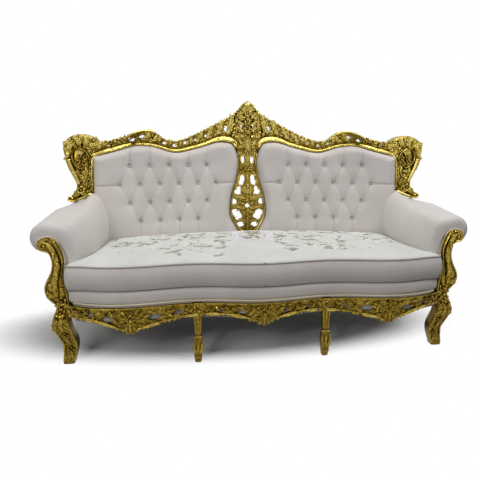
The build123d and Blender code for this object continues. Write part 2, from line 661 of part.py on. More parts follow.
# Glides under the eight feet
feet = [
    CORNER_LEG[-1][:2], (FRONT_WAIST[0], middle_leg_y()), (post_x, post_y + REAR_LEG_RAKE),
    (FRONT_WAIST[0], waist_y + REAR_LEG_RAKE),
]
glides = [Pos(x, y, GLIDE_HEIGHT / 2) * Cylinder(GLIDE_RADIUS, GLIDE_HEIGHT) for x, y in feet]
pieces["foot_glides"] = glides + [mirrored(glide) for glide in glides]

os.makedirs("parts", exist_ok=True)
for name, group in pieces.items():
    solids = [solid for shape in group for solid in shape.solids()]
    export_step(solids[0] if len(solids) == 1 else Compound(children=solids), f"parts/{name}.step")
    print(name, len(solids), round(sum(solid.volume for solid in solids)))
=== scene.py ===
import math

import bmesh
import bpy
import numpy as np
from mathutils import Matrix, Vector
from mathutils.bvhtree import BVHTree


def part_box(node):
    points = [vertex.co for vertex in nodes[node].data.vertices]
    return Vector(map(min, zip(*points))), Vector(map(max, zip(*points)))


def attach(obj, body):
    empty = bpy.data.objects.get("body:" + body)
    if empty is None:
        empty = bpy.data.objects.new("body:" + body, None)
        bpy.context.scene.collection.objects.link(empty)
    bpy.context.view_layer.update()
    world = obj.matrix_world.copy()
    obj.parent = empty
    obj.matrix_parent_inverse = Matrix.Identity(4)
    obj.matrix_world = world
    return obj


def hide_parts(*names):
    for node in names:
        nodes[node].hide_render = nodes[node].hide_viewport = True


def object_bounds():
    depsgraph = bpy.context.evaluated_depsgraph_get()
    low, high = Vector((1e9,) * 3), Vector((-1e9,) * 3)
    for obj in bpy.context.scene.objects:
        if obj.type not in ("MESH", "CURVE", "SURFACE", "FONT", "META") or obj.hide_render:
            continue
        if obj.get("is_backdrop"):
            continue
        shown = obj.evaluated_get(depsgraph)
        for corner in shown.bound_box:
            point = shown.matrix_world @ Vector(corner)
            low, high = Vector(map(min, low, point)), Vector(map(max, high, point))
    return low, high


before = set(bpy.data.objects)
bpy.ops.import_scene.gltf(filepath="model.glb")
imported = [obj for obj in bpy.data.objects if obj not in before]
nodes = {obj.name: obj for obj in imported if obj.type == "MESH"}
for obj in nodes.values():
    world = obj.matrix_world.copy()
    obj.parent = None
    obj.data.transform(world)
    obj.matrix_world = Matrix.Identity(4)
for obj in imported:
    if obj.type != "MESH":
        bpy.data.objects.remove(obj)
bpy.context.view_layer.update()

chance = np.random.default_rng(11)

# Seat and back frame
# Planed beech rails, glue blocks and dowels that the upholstery hides, with plywood boards behind the
# back pads. The rails are dowelled and the blocks screwed, so the screws and the glides are plain steel.
SIDES = ("left", "right")


def new_finish(name, roughness, metallic=0.0):
    """A material with its shader, ready for the nodes of one finish."""
    material = bpy.data.materials.new(name)
    material.use_nodes = True
    tree = material.node_tree
    shader = tree.nodes["Principled BSDF"]
    shader.inputs["Roughness"].default_value = roughness
    shader.inputs["Metallic"].default_value = metallic
    return material, tree, shader


def add(tree, kind, inputs=None, **settings):
    """Adds a node; each input takes a plain value or the socket that feeds it."""
    made = tree.nodes.new(kind)
    for key, value in settings.items():
        setattr(made, key, value)
    for key, value in (inputs or {}).items():
        if isinstance(value, bpy.types.NodeSocket):
            tree.links.new(value, made.inputs[key])
        else:
            made.inputs[key].default_value = value
    return made


def paint(tree, shader, value, stops):
    """Colours a shader by a value, through a ramp of (place, colour) stops."""
    made = add(tree, "ShaderNodeValToRGB", {"Fac": value})
    elements = made.color_ramp.elements
    while len(elements) < len(stops):
        elements.new(0.5)
    for element, (place, colour) in zip(elements, stops):
        element.position = place
        element.color = (*colour, 1)
    tree.links.new(made.outputs["Color"], shader.inputs["Base Color"])


def between(tree, value, low, high):
    """A value from 0 to 1, spread between two others."""
    made = add(tree, "ShaderNodeMapRange", {"Value": value, "To Min": low, "To Max": high})
    return made.outputs["Result"]


def surface_noise(tree, scale, detail=4.0, stretch=(1, 1, 1)):
    """Soft noise on the piece's own coordinates, stretched along its axes."""
    place = add(tree, "ShaderNodeTexCoord").outputs["Object"]
    place = add(tree, "ShaderNodeMapping", {"Vector": place, "Scale": stretch}).outputs["Vector"]
    noise = add(tree, "ShaderNodeTexNoise", {"Vector": place, "Scale": scale, "Detail": detail})
    return noise.outputs["Fac"]


def bump(tree, shader, height, strength, distance):
    """Raises the shader's surface by a height."""
    made = add(tree, "ShaderNodeBump", {"Height": height, "Strength": strength, "Distance": distance})
    tree.links.new(made.outputs["Normal"], shader.inputs["Normal"])


def wear(names, material):
    """Gives CAD nodes their finish."""
    for name in names:
        nodes[name].data.materials.clear()
        nodes[name].data.materials.append(material)


def both(*names):
    """The left and right names of paired nodes."""
    return [f"{name}_{side}" for name in names for side in SIDES]


beech, tree, shader = new_finish("planed_beech", 0.55)
grain = surface_noise(tree, 9, 8, (1, 9, 9))
paint(tree, shader, grain, [(0.3, (0.36, 0.21, 0.10)), (0.7, (0.56, 0.38, 0.21))])
bump(tree, shader, grain, 0.3, 0.001)
wear(["front_rail", "rear_rail", "back_sill", "corner_blocks", "frame_dowels",
      *both("side_rail", "cross_rail", "arm_rail", "back_board")], beech)

steel, tree, shader = new_finish("plain_steel", 0.4, 1.0)
scuff = surface_noise(tree, 300)
paint(tree, shader, scuff, [(0.3, (0.38, 0.38, 0.37)), (0.7, (0.60, 0.60, 0.59))])
tree.links.new(between(tree, scuff, 0.3, 0.5), shader.inputs["Roughness"])
wear(["block_screws", "foot_glides"], steel)

# Seat foundation
# Jute webbing stretched over the rails, hessian tacked over it, and a thin black lining under the seat.
# All three are woven sheets; each sags a little between its tacks.
SHEET_STEP = 0.05
CLOTH_MOTTLE = 6


def maths(tree, operation, *values, **settings):
    """The result of a sum on plain values or sockets."""
    return add(tree, "ShaderNodeMath", dict(enumerate(values)), operation=operation, **settings).outputs[0]


weave = bpy.data.node_groups.new("weave", "ShaderNodeTree")
weave.interface.new_socket("Threads", in_out="INPUT", socket_type="NodeSocketFloat")
weave.interface.new_socket("Height", in_out="OUTPUT", socket_type="NodeSocketFloat")
ends_in = weave.nodes.new("NodeGroupInput")
ends_out = weave.nodes.new("NodeGroupOutput")
place = add(weave, "ShaderNodeTexCoord").outputs["Object"]
place = add(weave, "ShaderNodeVectorMath", {0: place, "Scale": ends_in.outputs["Threads"]}, operation="SCALE")
axes = add(weave, "ShaderNodeSeparateXYZ", {0: place.outputs["Vector"]})
waves = [maths(weave, "SINE", axes.outputs[axis]) for axis in "XYZ"]
crossings = [maths(weave, "MULTIPLY", waves[i], waves[i - 1]) for i in range(3)]
total = maths(weave, "ADD", maths(weave, "ADD", *crossings[:2]), crossings[2])
weave.links.new(total, ends_out.inputs["Height"])


def woven(name, dark, light, threads, relief, rough=0.9, sheen=0.0):
    """A woven finish: thread relief, a soft change of tone over the cloth, and sheen where it has a nap."""
    material, tree, shader = new_finish(name, rough)
    shader.inputs["Sheen Weight"].default_value = sheen
    cloth = add(tree, "ShaderNodeGroup", node_tree=weave)
    cloth.inputs["Threads"].default_value = threads
    paint(tree, shader, surface_noise(tree, CLOTH_MOTTLE, 5), [(0.3, dark), (0.7, light)])
    bump(tree, shader, cloth.outputs["Height"], 0.5, relief)
    return material


jute = woven("woven_jute", (0.30, 0.21, 0.11), (0.44, 0.33, 0.18), 2600, 0.0006)
lining = woven("black_lining", (0.010, 0.010, 0.011), (0.018, 0.018, 0.020), 5200, 0.0002)


def mesh_of(name, bm):
    """Turns a finished bmesh into a mesh."""
    mesh = bpy.data.meshes.new(name)
    bm.to_mesh(mesh)
    bm.free()
    return mesh


def in_scene(name, data):
    """A new object of the scene."""
    made = bpy.data.objects.new(name, data)
    bpy.context.scene.collection.objects.link(made)
    return made


def new_piece(name, bm, materials, body="frame", sharp=None):
    """Turns a finished bmesh into a piece that rides on a body."""
    mesh = mesh_of(name, bm)
    mesh.polygons.foreach_set("use_smooth", [True] * len(mesh.polygons))
    if sharp is not None:
        mesh.set_sharp_from_angle(angle=math.radians(sharp))
    for material in materials:
        mesh.materials.append(material)
    piece = in_scene(name, mesh)
    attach(piece, body)
    return piece


def copy_of(node):
    """A merged copy of a CAD node's mesh."""
    bm = bmesh.new()
    bm.from_mesh(nodes[node].data)
    bmesh.ops.remove_doubles(bm, verts=bm.verts, dist=0.00002)
    return bm


for name, node, sag, finish, slot in (("webbing_straps", "seat_webbing", 0.004, jute, "jute"),
                                      ("hessian_sheet", "seat_hessian", 0.004, jute, "jute"),
                                      ("underseat_lining", "dust_cover", 0.012, lining, "lining")):
    sheet = copy_of(node)
    low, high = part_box(node)
    for axis in (0, 1):
        normal = Vector([1.0 if i == axis else 0.0 for i in range(3)])
        for spot in np.arange(low[axis] + SHEET_STEP, high[axis], SHEET_STEP):
            bmesh.ops.bisect_plane(sheet, geom=[*sheet.verts, *sheet.edges, *sheet.faces], dist=1e-6,
                                   plane_co=normal * float(spot), plane_no=normal)
    for vert in sheet.verts:
        share = vert.co - low
        across = math.sin(math.pi * share.x / (high.x - low.x))
        along = math.sin(math.pi * share.y / (high.y - low.y))
        vert.co.z -= sag * max(across, 0) ** 0.4 * max(along, 0)
    area = sum(face.calc_area() for face in sheet.faces) / 2
    piece = new_piece(name, sheet, [finish], sharp=30)
    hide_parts(node)
    size = high - low

# Corner legs
# Carved hardwood cabriole legs, water gilt: flowers and leaves on the knee, a flower on the shin and another
# over leaves at the ankle. Each is carved from one block and dowelled under its arm post.
GILT_STOPS = [(0.0, (0.090, 0.057, 0.008)), (0.3, (0.165, 0.110, 0.015)), (0.55, (0.30, 0.212, 0.034)),
              (0.8, (0.52, 0.420, 0.105)), (1.0, (0.78, 0.71, 0.34))]
GILT_LOW_SHADE = np.array([(0.0, 0.37), (0.30, 0.47), (0.50, 0.57), (0.80, 0.82), (1.05, 0.98)])   # height, share of the colour kept: painted shade towards the floor
# The third of these is a painted highlight, added on the highest crowns of the carving.
LEAF_TONE, MOULDING_TONE, GLINT = 0.66, 0.76, 0.16
REAR_SHADE_LIFT = 0.30        # added on faces turned to the rear, which lifts them out of the painted shade of the ground
PATINA_SCALE, PATINA_DEPTH = 125, 1.15
gilt, tree, shader = new_finish("burnished_gilt", 0.25, 1.0)
# The carvings' relief attribute holds painted shade and painted glints. With patina noise added, it colours
# the gilding through the ramp and sets its roughness.
carved = add(tree, "ShaderNodeAttribute", attribute_name="relief").outputs["Fac"]
patina = maths(tree, "SUBTRACT", surface_noise(tree, PATINA_SCALE, 4), 0.5)
patina_and_shade = maths(tree, "MULTIPLY_ADD", patina, PATINA_DEPTH, carved)
paint(tree, shader, patina_and_shade, GILT_STOPS)
tree.links.new(between(tree, patina_and_shade, 0.40, 0.10), shader.inputs["Roughness"])
bump(tree, shader, surface_noise(tree, 160, 3), 0.25, 0.0012)

BURNISH_SHADE_CELL = 0.003     # pitch of the grid that finds the carving's hollows, for their painted shade
BURNISH_SHADE_REACH = 2
BURNISH_SHADE_FALL = 0.018     # depth below the crowns around it at which the leaf is painted quite dark, as painted shade


def arc(line):
    """How far along a line each of its points lies."""
    return np.concatenate([[0], np.cumsum(np.linalg.norm(np.diff(line, axis=0), axis=1))])


def sampled(at, stations, line):
    """The points of a line at places between its stations."""
    return np.column_stack([np.interp(at, stations, column) for column in np.transpose(line)])


def height_on(line, x):
    """The second of two columns, where the first is x: as a rule the height of a line."""
    return np.interp(x, *np.transpose(line))


def fair(points, count):
    """Evenly timed points of the smooth line through a few set ones."""
    points = np.array(points, float)
    knots = arc(points)
    slopes = np.gradient(points, knots, axis=0)
    at = np.linspace(0, knots[-1], count)
    span = np.clip(np.searchsorted(knots, at, side="right") - 1, 0, len(knots) - 2)
    long = (knots[span + 1] - knots[span])[:, None]
    t = (at - knots[span])[:, None] / long
    a, b = points[span], points[span + 1]
    held = (2 * t**3 - 3 * t**2 + 1) * a + (3 * t**2 - 2 * t**3) * b
    return held + long * ((t**3 - 2 * t**2 + t) * slopes[span] + (t**3 - t**2) * slopes[span + 1])


def normals_of(line):
    """Unit normals, to the left of a line."""
    run = np.gradient(np.asarray(line), axis=0)
    run /= np.maximum(np.linalg.norm(run, axis=1, keepdims=True), 1e-9)
    return np.column_stack([-run[:, 1], run[:, 0]])


def beside(line, distance):
    """A line moved to its left by a distance."""
    return np.asarray(line) + normals_of(line) * distance


def stroke(root, heading, length, turn, gather=1.0, count=24):
    """A line from root at a heading, in degrees, that curls by turn, more at its tip as gather grows."""
    share = (np.arange(count - 1) + 0.5) / (count - 1)
    angle = np.radians(heading + turn * share**gather)
    steps = np.column_stack([np.cos(angle), np.sin(angle)]) * length / (count - 1)
    return np.asarray(root) + np.concatenate([[[0, 0]], np.cumsum(steps, axis=0)])


blanks = {}


def blank(sides, rows):
    """A closed blank of rings and two poles: its mesh, and each vertex's ring and place round the ring."""
    if (sides, rows) not in blanks:
        ball = bmesh.new()
        bmesh.ops.create_uvsphere(ball, u_segments=sides, v_segments=rows + 1, radius=1)
        unit = np.array([v.co for v in ball.verts])
        mesh = mesh_of("blank", ball)
        ring = np.rint(np.arccos(np.clip(-unit[:, 2], -1, 1)) / np.pi * (rows + 1)).astype(int)
        side = np.rint(np.arctan2(unit[:, 1], unit[:, 0]) / (2 * np.pi) * sides).astype(int) % sides
        blanks[sides, rows] = mesh, ring, side
    return blanks[sides, rows]


def strip(bm, rings, ends):
    """Adds a closed strip through rings of points, drawn together at the two ends."""
    mesh, ring, side = blank(rings.shape[1], len(rings))
    points = rings[np.clip(ring - 1, 0, len(rings) - 1), side]
    points[ring == 0] = ends[0]
    points[ring == len(rings) + 1] = ends[1]
    mesh.vertices.foreach_set("co", points.astype(np.float32).ravel())
    bm.from_mesh(mesh)


def band(bm, line, section, swell, base=0.0, lift=0.0):
    """A closed strip along a line of the relief. Section is its outline as (across, out), and swell how
    large that is along the line; it starts base out from the ground, and its tip lifts by lift."""
    line, section = np.asarray(line, float), np.asarray(section)
    rows = len(swell)
    share = np.linspace(0, 1, rows)
    at, stations = share * (len(line) - 1), np.arange(len(line))
    spot, normal = (sampled(at, stations, track) for track in (line, normals_of(line)))
    sized = section[None] * np.asarray(swell)[:, None, None]
    rings = np.empty((rows, len(section), 3))
    rings[..., :2] = spot[:, None] + normal[:, None] * sized[..., :1]
    rings[..., 2] = base + sized[..., 1] + lift * share[:, None] ** 2
    strip(bm, rings, [(*spot[0], base), (*spot[-1], base + lift)])


def half_round(width, rise, sink=0.003, vein=0.0, sides=8):
    """A rounded section, flat behind, with a hollow down its middle where vein is given."""
    angle = np.arange(sides) * 2 * np.pi / sides
    across = np.cos(angle)
    out = np.sin(angle) * np.where(np.sin(angle) > 0, rise * (1 - vein * np.exp(-(across / 0.4) ** 2)), sink)
    return np.column_stack([across * width / 2, out])


def leaf(bm, line, width, rise, base=0.0, widest=0.6, full=0.8, lobes=0, vein=0.35, lift=0.0, rows=9):
    """A carved leaf along a line, with a hollow midrib and lobed edges."""
    share = (np.arange(rows) + 0.35) / (rows - 0.3)
    swell = np.sin(np.pi * share**widest) ** full
    if lobes:
        swell = swell * (1 - 0.34 * np.abs(np.sin(np.pi * lobes * share)))
    band(bm, line, half_round(width, rise, vein=vein), swell, base, lift)


def scroll(bm, line, width, rise, base=0.0, taper=0.6, rows=22):
    """A bright rounded scroll along a line, thinner towards its tip, with a bead in its curl."""
    share = (np.arange(rows) + 0.3) / rows
    band(bm, line, half_round(width, rise), np.minimum(1, share * 9) ** 0.5 * (1 - taper * share), base)
    bead(bm, line[-1], width * 0.42, rise, base)


def moulding(bm, line, width, rise, rows=0, base=0.0):
    """A plain rounded strip along a line, of one size all the way."""
    band(bm, line, half_round(width, rise), np.ones(rows or len(line)), base)


def bead(bm, spot, radius, rise, base=0.0):
    """A round boss on the ground."""
    line = np.asarray(spot) + np.array([[-radius, 0], [radius, 0]])
    share = (np.arange(7) + 0.5) / 7
    band(bm, line, half_round(2 * radius, rise), np.sin(np.pi * share) ** 0.6, base)


def rosette(bm, spot, radius, rise, petals, base=0.0):
    """An open flower: notched petals round a boss."""
    for i in range(petals):
        heading = 90 + 360 * i / petals
        root = stroke(spot, heading, radius * 0.2, 0)[-1]
        line = stroke(root, heading, radius * 0.85, 20)
        leaf(bm, line, radius * 0.85, rise * 0.8, base, widest=1.5, full=0.6, vein=0.5, lift=rise * 0.25,
             rows=8)
    bead(bm, spot, radius * 0.3, rise, base)


def sprig(bm, root, heading, length, turn, width, rise, base=0.0, lobes=3):
    """An acanthus leaf: a curling blade with smaller lobes set along both sides."""
    line = stroke(root, heading, length, turn, 1.4)
    leaf(bm, line, width, rise, base, lift=rise * 0.5)
    for i in range(lobes):
        share = (i + 0.6) / (lobes + 0.6)
        spot = line[int(share * (len(line) - 1))]
        aim = heading + turn * share**1.4
        for side in (-1, 1):
            small = length * (0.46 - 0.22 * share)
            leaf(bm, stroke(spot, aim + side * 48, small, -side * 45), width * 0.68, rise * 0.8, base, rows=6,
                 full=0.65, lift=rise * 0.3)


def burnish_and_shade(points):
    """How bright the gilding is painted: light on the crowns of the relief and dark in the hollows between,
    as painted shade. The same value makes the crowns burnished and smooth.
    """
    cell = np.floor((points[:, :2] - points[:, :2].min(0)) / BURNISH_SHADE_CELL).astype(int) + 2 * BURNISH_SHADE_REACH
    crowns = np.zeros(cell.max(0) + 2 * BURNISH_SHADE_REACH + 1)
    np.maximum.at(crowns, tuple(cell.T), points[:, 2])
    for axis in (0, 1):
        crowns = np.maximum.reduce([np.roll(crowns, step, axis) for step in (-1, 0, 1)])
    for axis in (0, 1):
        crowns = sum(np.roll(crowns, step, axis) for step in range(-BURNISH_SHADE_REACH, BURNISH_SHADE_REACH + 1))
        crowns = crowns / (2 * BURNISH_SHADE_REACH + 1)
    return np.clip(1 + (points[:, 2] - crowns[tuple(cell.T)]) / BURNISH_SHADE_FALL, 0, 1)


def points_of(bm):
    """The places of a mesh's vertices."""
    return np.array([vert.co for vert in bm.verts])


def lay(bm, placed, mirror=False):
    """Puts a mesh's vertices in their places, mirrored for the left side, and turns its faces outward."""
    for vert, spot in zip(bm.verts, placed):
        vert.co = (-spot[0], spot[1], spot[2]) if mirror else spot
    bmesh.ops.recalc_face_normals(bm, faces=bm.faces)


def join(bm, other):
    """Moves all of another mesh into a mesh."""
    mesh = mesh_of("joined", other)
    bm.from_mesh(mesh)
    bpy.data.meshes.remove(mesh)


def carve(bm, surface, stem, side="", node=None, trim=None, ground_shade=0.16, smooth=0, block=True):
    """Wraps a finished relief on its surface, over the block its node gives, as one gilt piece. Its first
    vertices, as many as smooth tells, are burnished mouldings. The gilding is painted darker towards the
    floor and in the carving's hollows, as painted shade. A relief with its own pierced plate takes no block.
    The node has the stem's name unless one is given."""
    tail = f"_{side}" if side else ""
    node = (node or stem) + tail
    points = points_of(bm)
    placed = surface(points)
    ground = copy_of(node) if block else bmesh.new()
    if trim:
        trim(ground)
    tone = bm.verts.layers.float.new("relief")
    # Painted shade in the carving's hollows, from how far each point lies below the crowns round it.
    bright_of = burnish_and_shade(points)
    # Painted shade: the carving is painted darker towards the floor.
    low_shade = height_on(GILT_LOW_SHADE, placed[:, 2])
    # Painted highlight: a glint added where a point stands at the crown.
    glint = GLINT * np.clip(bright_of * 8 - 7, 0, 1)
    bright_of = np.where(np.arange(len(points)) < smooth, bright_of * MOULDING_TONE * low_shade**0.3,
                         bright_of * LEAF_TONE * low_shade + glint)
    for vert, bright in zip(bm.verts, bright_of):
        vert[tone] = bright
    lay(bm, placed, side == "left")
    carved_count = len(bm.verts)
    join(bm, ground)
    bm.verts.ensure_lookup_table()
    # The block's ground is painted dark as the shade of the hollows, less so on faces turned to the rear, and
    # darker towards the floor as painted shade.
    for vert in bm.verts[carved_count:]:
        vert[tone] = height_on(GILT_LOW_SHADE, vert.co.z) * (ground_shade + REAR_SHADE_LIFT * max(0.0, vert.normal.y))
    piece = new_piece(f"{stem}_carved{tail}", bm, [gilt], sharp=38)
    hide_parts(node)


# The corner leg's line, as (x, y, height, width) down its middle
LEG_LINE = np.array([
    (0.917, -0.328, 0.296, 0.064), (0.922, -0.336, 0.244, 0.070), (0.925, -0.342, 0.200, 0.074),
    (0.908, -0.334, 0.151, 0.068), (0.893, -0.322, 0.101, 0.060), (0.896, -0.322, 0.054, 0.056),
    (0.904, -0.330, 0.005, 0.050),
])


def on_corner_leg(points):
    """Relief on the front of the right corner leg: (off the middle line, height, out)."""
    x, y, wide = (np.interp(-points[:, 1], -LEG_LINE[:, 2], LEG_LINE[:, k]) for k in (0, 1, 3))
    hollow = 0.10 * np.abs(points[:, 0]) ** 2 / np.maximum(wide, 0.01)
    return np.column_stack([x + points[:, 0], y - wide / 2 - points[:, 2] + hollow, points[:, 1]])


for side in SIDES:
    bm = bmesh.new()
    rosette(bm, (0.002, 0.262), 0.022, 0.014, 6, 0.004)
    rosette(bm, (0.018, 0.236), 0.013, 0.012, 5, 0.003)
    rosette(bm, (-0.018, 0.238), 0.013, 0.012, 5, 0.003)
    for aim in (-1, 1):
        sprig(bm, (0.010 * aim, 0.228), 90 - 120 * aim, 0.036, -40 * aim, 0.015, 0.010)
        sprig(bm, (0.008 * aim, 0.280), 90 - 40 * aim, 0.030, -40 * aim, 0.014, 0.009)
        sprig(bm, (0.016 * aim, 0.206), 90 - 150 * aim, 0.040, 40 * aim, 0.014, 0.008)
        edge = [(0.030 * aim, 0.226), (0.034 * aim, 0.196), (0.031 * aim, 0.150), (0.027 * aim, 0.100),
                (0.025 * aim, 0.056), (0.022 * aim, 0.016)]
        moulding(bm, fair(edge, 40), 0.010, 0.005)
    leaf(bm, stroke((0, 0.236), 270, 0.080, 0), 0.030, 0.012, lobes=4, rows=16)
    rosette(bm, (0, 0.150), 0.015, 0.011, 5, 0.002)
    sprig(bm, (0, 0.138), 270, 0.036, 0, 0.013, 0.008, lobes=2)
    rosette(bm, (-0.004, 0.072), 0.016, 0.011, 5, 0.002)
    for aim in (-1, 0, 1):
        line = stroke((0.004 * aim, 0.066), 270 + 24 * aim, 0.052, -10 * aim)
        leaf(bm, line, 0.018, 0.010, lift=0.003, lobes=2)
    carve(bm, on_corner_leg, "corner_leg", side, ground_shade=0.46)

# Middle legs
# Straight tapered hardwood legs let into the front rail, gilt like the rest: a sunk panel down the face,
# a turned collar and a leafy bulb above the foot.
WAIST_X, WAIST_Y = 0.306, -0.387
SHANK = np.array([(0.296, 0.046), (0.241, 0.044), (0.133, 0.028), (0.127, 0.034), (0.084, 0.042),
                  (0.040, 0.038), (0.005, 0.030)])


def on_middle_leg(points):
    """Relief on the front of the right middle leg: (off its middle, height, out)."""
    wide = np.interp(-points[:, 1], -SHANK[:, 0], SHANK[:, 1])
    return np.column_stack([WAIST_X + points[:, 0], WAIST_Y - wide / 2 - points[:, 2], points[:, 1]])


for side in SIDES:
    bm = bmesh.new()
    rosette(bm, (0, 0.268), 0.017, 0.010, 6)
    for aim in (-1, 1):
        moulding(bm, [(0.015 * aim, 0.244), (0.010 * aim, 0.142)], 0.007, 0.005, 12)
    leaf(bm, stroke((0, 0.246), 270, 0.075, 0), 0.016, 0.007, lobes=4, rows=14)
    moulding(bm, [(-0.020, 0.131), (0.020, 0.131)], 0.010, 0.006, 8)
    for aim in (-1, 0, 1):
        leaf(bm, stroke((0.010 * aim, 0.046), 90 - 14 * aim, 0.070, 10 * aim), 0.017, 0.008, lift=0.003)
    moulding(bm, [(-0.018, 0.030), (0.018, 0.030)], 0.008, 0.004, 8)
    carve(bm, on_middle_leg, "middle_leg", side, ground_shade=0.48)

# Front apron
# Pierced and carved hardwood in three bays along the serpentine rail, gilt: leaves and flowers between small
# piercings, broad smooth leaves on the lower edge, and a leafy drop glued on at the foot of each bay.
RAIL_BASE, RAIL_TOP = (corner.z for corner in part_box("front_rail"))
APRON_PROUD = 0.020
SHELL_PROUD = 0.010
SEAT_END = (0.880, -0.352)
BAY_DROPS = [(0, 0.060), (0.070, 0.066), (0.170, 0.084), (0.255, 0.104), (0.300, 0.118), (0.345, 0.102),
             (0.425, 0.072), (0.560, 0.056), (0.580, 0.056)]
MIDDLE_DROPS = [(0, 0.104), (0.045, 0.086), (0.100, 0.070), (0.170, 0.060), (0.290, 0.058)]
APRON_THICK = 0.010
BAY_HOLES = [(0.090, 0.257, 0.024, 0.012), (0.196, 0.246, 0.036, 0.015), (0.398, 0.245, 0.031, 0.014),
             (0.480, 0.262, 0.018, 0.011)]      # x, height, half length, half height
MIDDLE_HOLES = [(0.100, 0.254, 0.026, 0.012), (0.205, 0.264, 0.020, 0.010)]
LEAF_WIDTH, LEAF_LOW, LEAF_HIGH = 0.46, 0.006, 0.014
APRON_PITCH, APRON_LEAF = 0.019, 0.030
EDGE_LEAF_WIDTH, EDGE_LEAF_RISE = 0.022, 0.013
BAY_LEAVES = [(0.028, 0.060, 1), (0.215, 0.085, 1), (0.400, 0.085, -1), (0.470, 0.050, -1)]  # x, length, way
MIDDLE_LEAVES = [(0.110, 0.090, -1), (-0.110, 0.090, 1), (0.225, 0.070, -1), (-0.225, 0.070, 1)]


def front_profile():
    """The serpentine line of the rail's face as (x, y), found on the apron's blocks."""
    found = []
    for part in ("left", "middle", "right"):
        block = BVHTree.FromBMesh(copy_of(f"front_apron_{part}"))
        for x in np.arange(-0.865, 0.866, 0.005):
            hit = block.ray_cast(Vector((x, -2, RAIL_TOP - 0.003)), Vector((0, 1, 0)))[0]
            if hit and abs(abs(x) - WAIST_X) > 0.04:
                found.append((x, hit.y + APRON_PROUD))
    found = np.array(sorted(found + [SEAT_END, (-SEAT_END[0], SEAT_END[1])]))
    x = np.linspace(-SEAT_END[0], SEAT_END[0], 353)
    return np.column_stack([x, height_on(found, x)])


FRONT_LINE = front_profile()


def level(outline, z):
    """The points of an outline with one height for all, as their last place."""
    return np.column_stack([outline, np.full(len(outline), z)])


def on_apron(points):
    """Relief on the front of the apron: (x, height, out)."""
    y = height_on(FRONT_LINE, points[:, 0])
    return np.column_stack([points[:, 0], y - APRON_PROUD - points[:, 2], points[:, 1]])


def plate(bm, first, second, across, holes, depth):
    """A pierced plate between two lines of the relief, with its face on the ground and smooth hole rims."""
    sheet = bmesh.new()
    rows = len(first)
    verts = bmesh.ops.create_grid(sheet, x_segments=rows - 1, y_segments=across - 1, size=0.5)["verts"]
    for vert in verts:
        row, share = round((vert.co.x + 0.5) * (rows - 1)), vert.co.y + 0.5
        vert.co = (*(first[row] * (1 - share) + second[row] * share), -depth / 2)
    for x, z, a, b in holes:
        inside = []
        for face in sheet.faces:
            middle = face.calc_center_median()
            if math.hypot((middle.x - x) / a, (middle.y - z) / b) < 1:
                inside.append(face)
        rim = {vert for face in inside for vert in face.verts}
        bmesh.ops.delete(sheet, geom=inside, context="FACES")
        for vert in rim:
            if vert.is_valid:
                reach = max(math.hypot((vert.co.x - x) / a, (vert.co.y - z) / b), 0.3)
                vert.co.x, vert.co.y = x + (vert.co.x - x) / reach, z + (vert.co.y - z) / reach
    bmesh.ops.solidify(sheet, geom=sheet.faces[:], thickness=depth)
    top = max(vert.co.z for vert in sheet.verts)
    for vert in sheet.verts:
        vert.co.z -= top
    join(bm, sheet)


def clear_of(spot, holes, room):
    """Whether a spot lies outside every hole, with room to spare."""
    return all(math.hypot((spot[0] - x) / (a + room), (spot[1] - z) / (b + room)) > 1 for x, z, a, b in holes)


def spots_between(low, high, pitch):
    """Spots spread over the field between a lower and an upper line."""
    spots = []
    for x in np.arange(low[0][0] + pitch / 2, low[-1][0], pitch):
        foot, top = height_on(low, x), height_on(high, x)
        spots += [(x, z) for z in np.arange(foot + pitch * 0.3, top, pitch)]
    return spots


def foliage(bm, spots, holes, reach, inside):
    """Leaves at spots, each turned so that it leaves a carving's holes open and its tip keeps inside."""
    for spot in spots:
        spot = spot + chance.uniform(-0.3, 0.3, 2) * reach
        for heading in chance.uniform(0, 360, 4):
            tip = stroke(spot, heading, reach, 0, count=2)[-1]
            kept = inside(*spot) and inside(*tip)
            if kept and clear_of(spot, holes, 0.003) and clear_of(tip, holes, 0.001):
                sprig(bm, spot, heading, reach * chance.uniform(0.8, 1.15), chance.choice((-80, 80)),
                      reach * LEAF_WIDTH, chance.uniform(LEAF_LOW, LEAF_HIGH), lobes=1)
                break


def rim_leaves(bm, holes):
    """Leaves that lap over the rims of the wider holes, so that none is a plain oval."""
    for x, z, a, b in holes:
        if min(a, b) > 0.006:
            for turn in np.radians(chance.uniform(0, 120) + np.array([0, 170])):
                way = np.array([a * math.cos(turn), b * math.sin(turn)])
                root = (x, z) + way * 1.25
                heading = math.degrees(math.atan2(-way[1], -way[0])) + chance.uniform(-50, 50)
                long = 0.8 * math.hypot(*way)
                if clear_of(root, holes, 0):
                    line = stroke(root, heading, long, chance.uniform(-40, 40))
                    leaf(bm, line, long * 0.6, 0.010, 0.002, full=0.6, lift=0.002)


def tips(bm, line, pitch, length, inset, broad, rise=0.010):
    """A row of rounded leaf tips that lap over an edge, to the left of its line."""
    run = arc(line)
    at = np.arange(pitch / 2, run[-1], pitch)
    flip = 1
    for spot, out in zip(sampled(at, run, line), sampled(at, run, normals_of(line))):
        flip = -flip
        heading = math.degrees(math.atan2(out[1], out[0])) + flip * chance.uniform(4, 26)
        blade = stroke(spot - out * inset, heading, length * chance.uniform(0.75, 1.2), flip * 40)
        leaf(bm, blade, length * broad, rise, 0.0015 * (1 + flip), full=0.55, lift=0.003, rows=7)


def edge_leaf(bm, line, middle, length, way):
    """A broad smooth leaf that lies along an edge."""
    run = np.linspace(middle - length / 2, middle + length / 2, 24)[::way]
    rail = np.column_stack([run, height_on(line, run) + EDGE_LEAF_WIDTH * 0.35])
    leaf(bm, rail, EDGE_LEAF_WIDTH, EDGE_LEAF_RISE, 0.004, vein=0.2, full=0.6, rows=18)


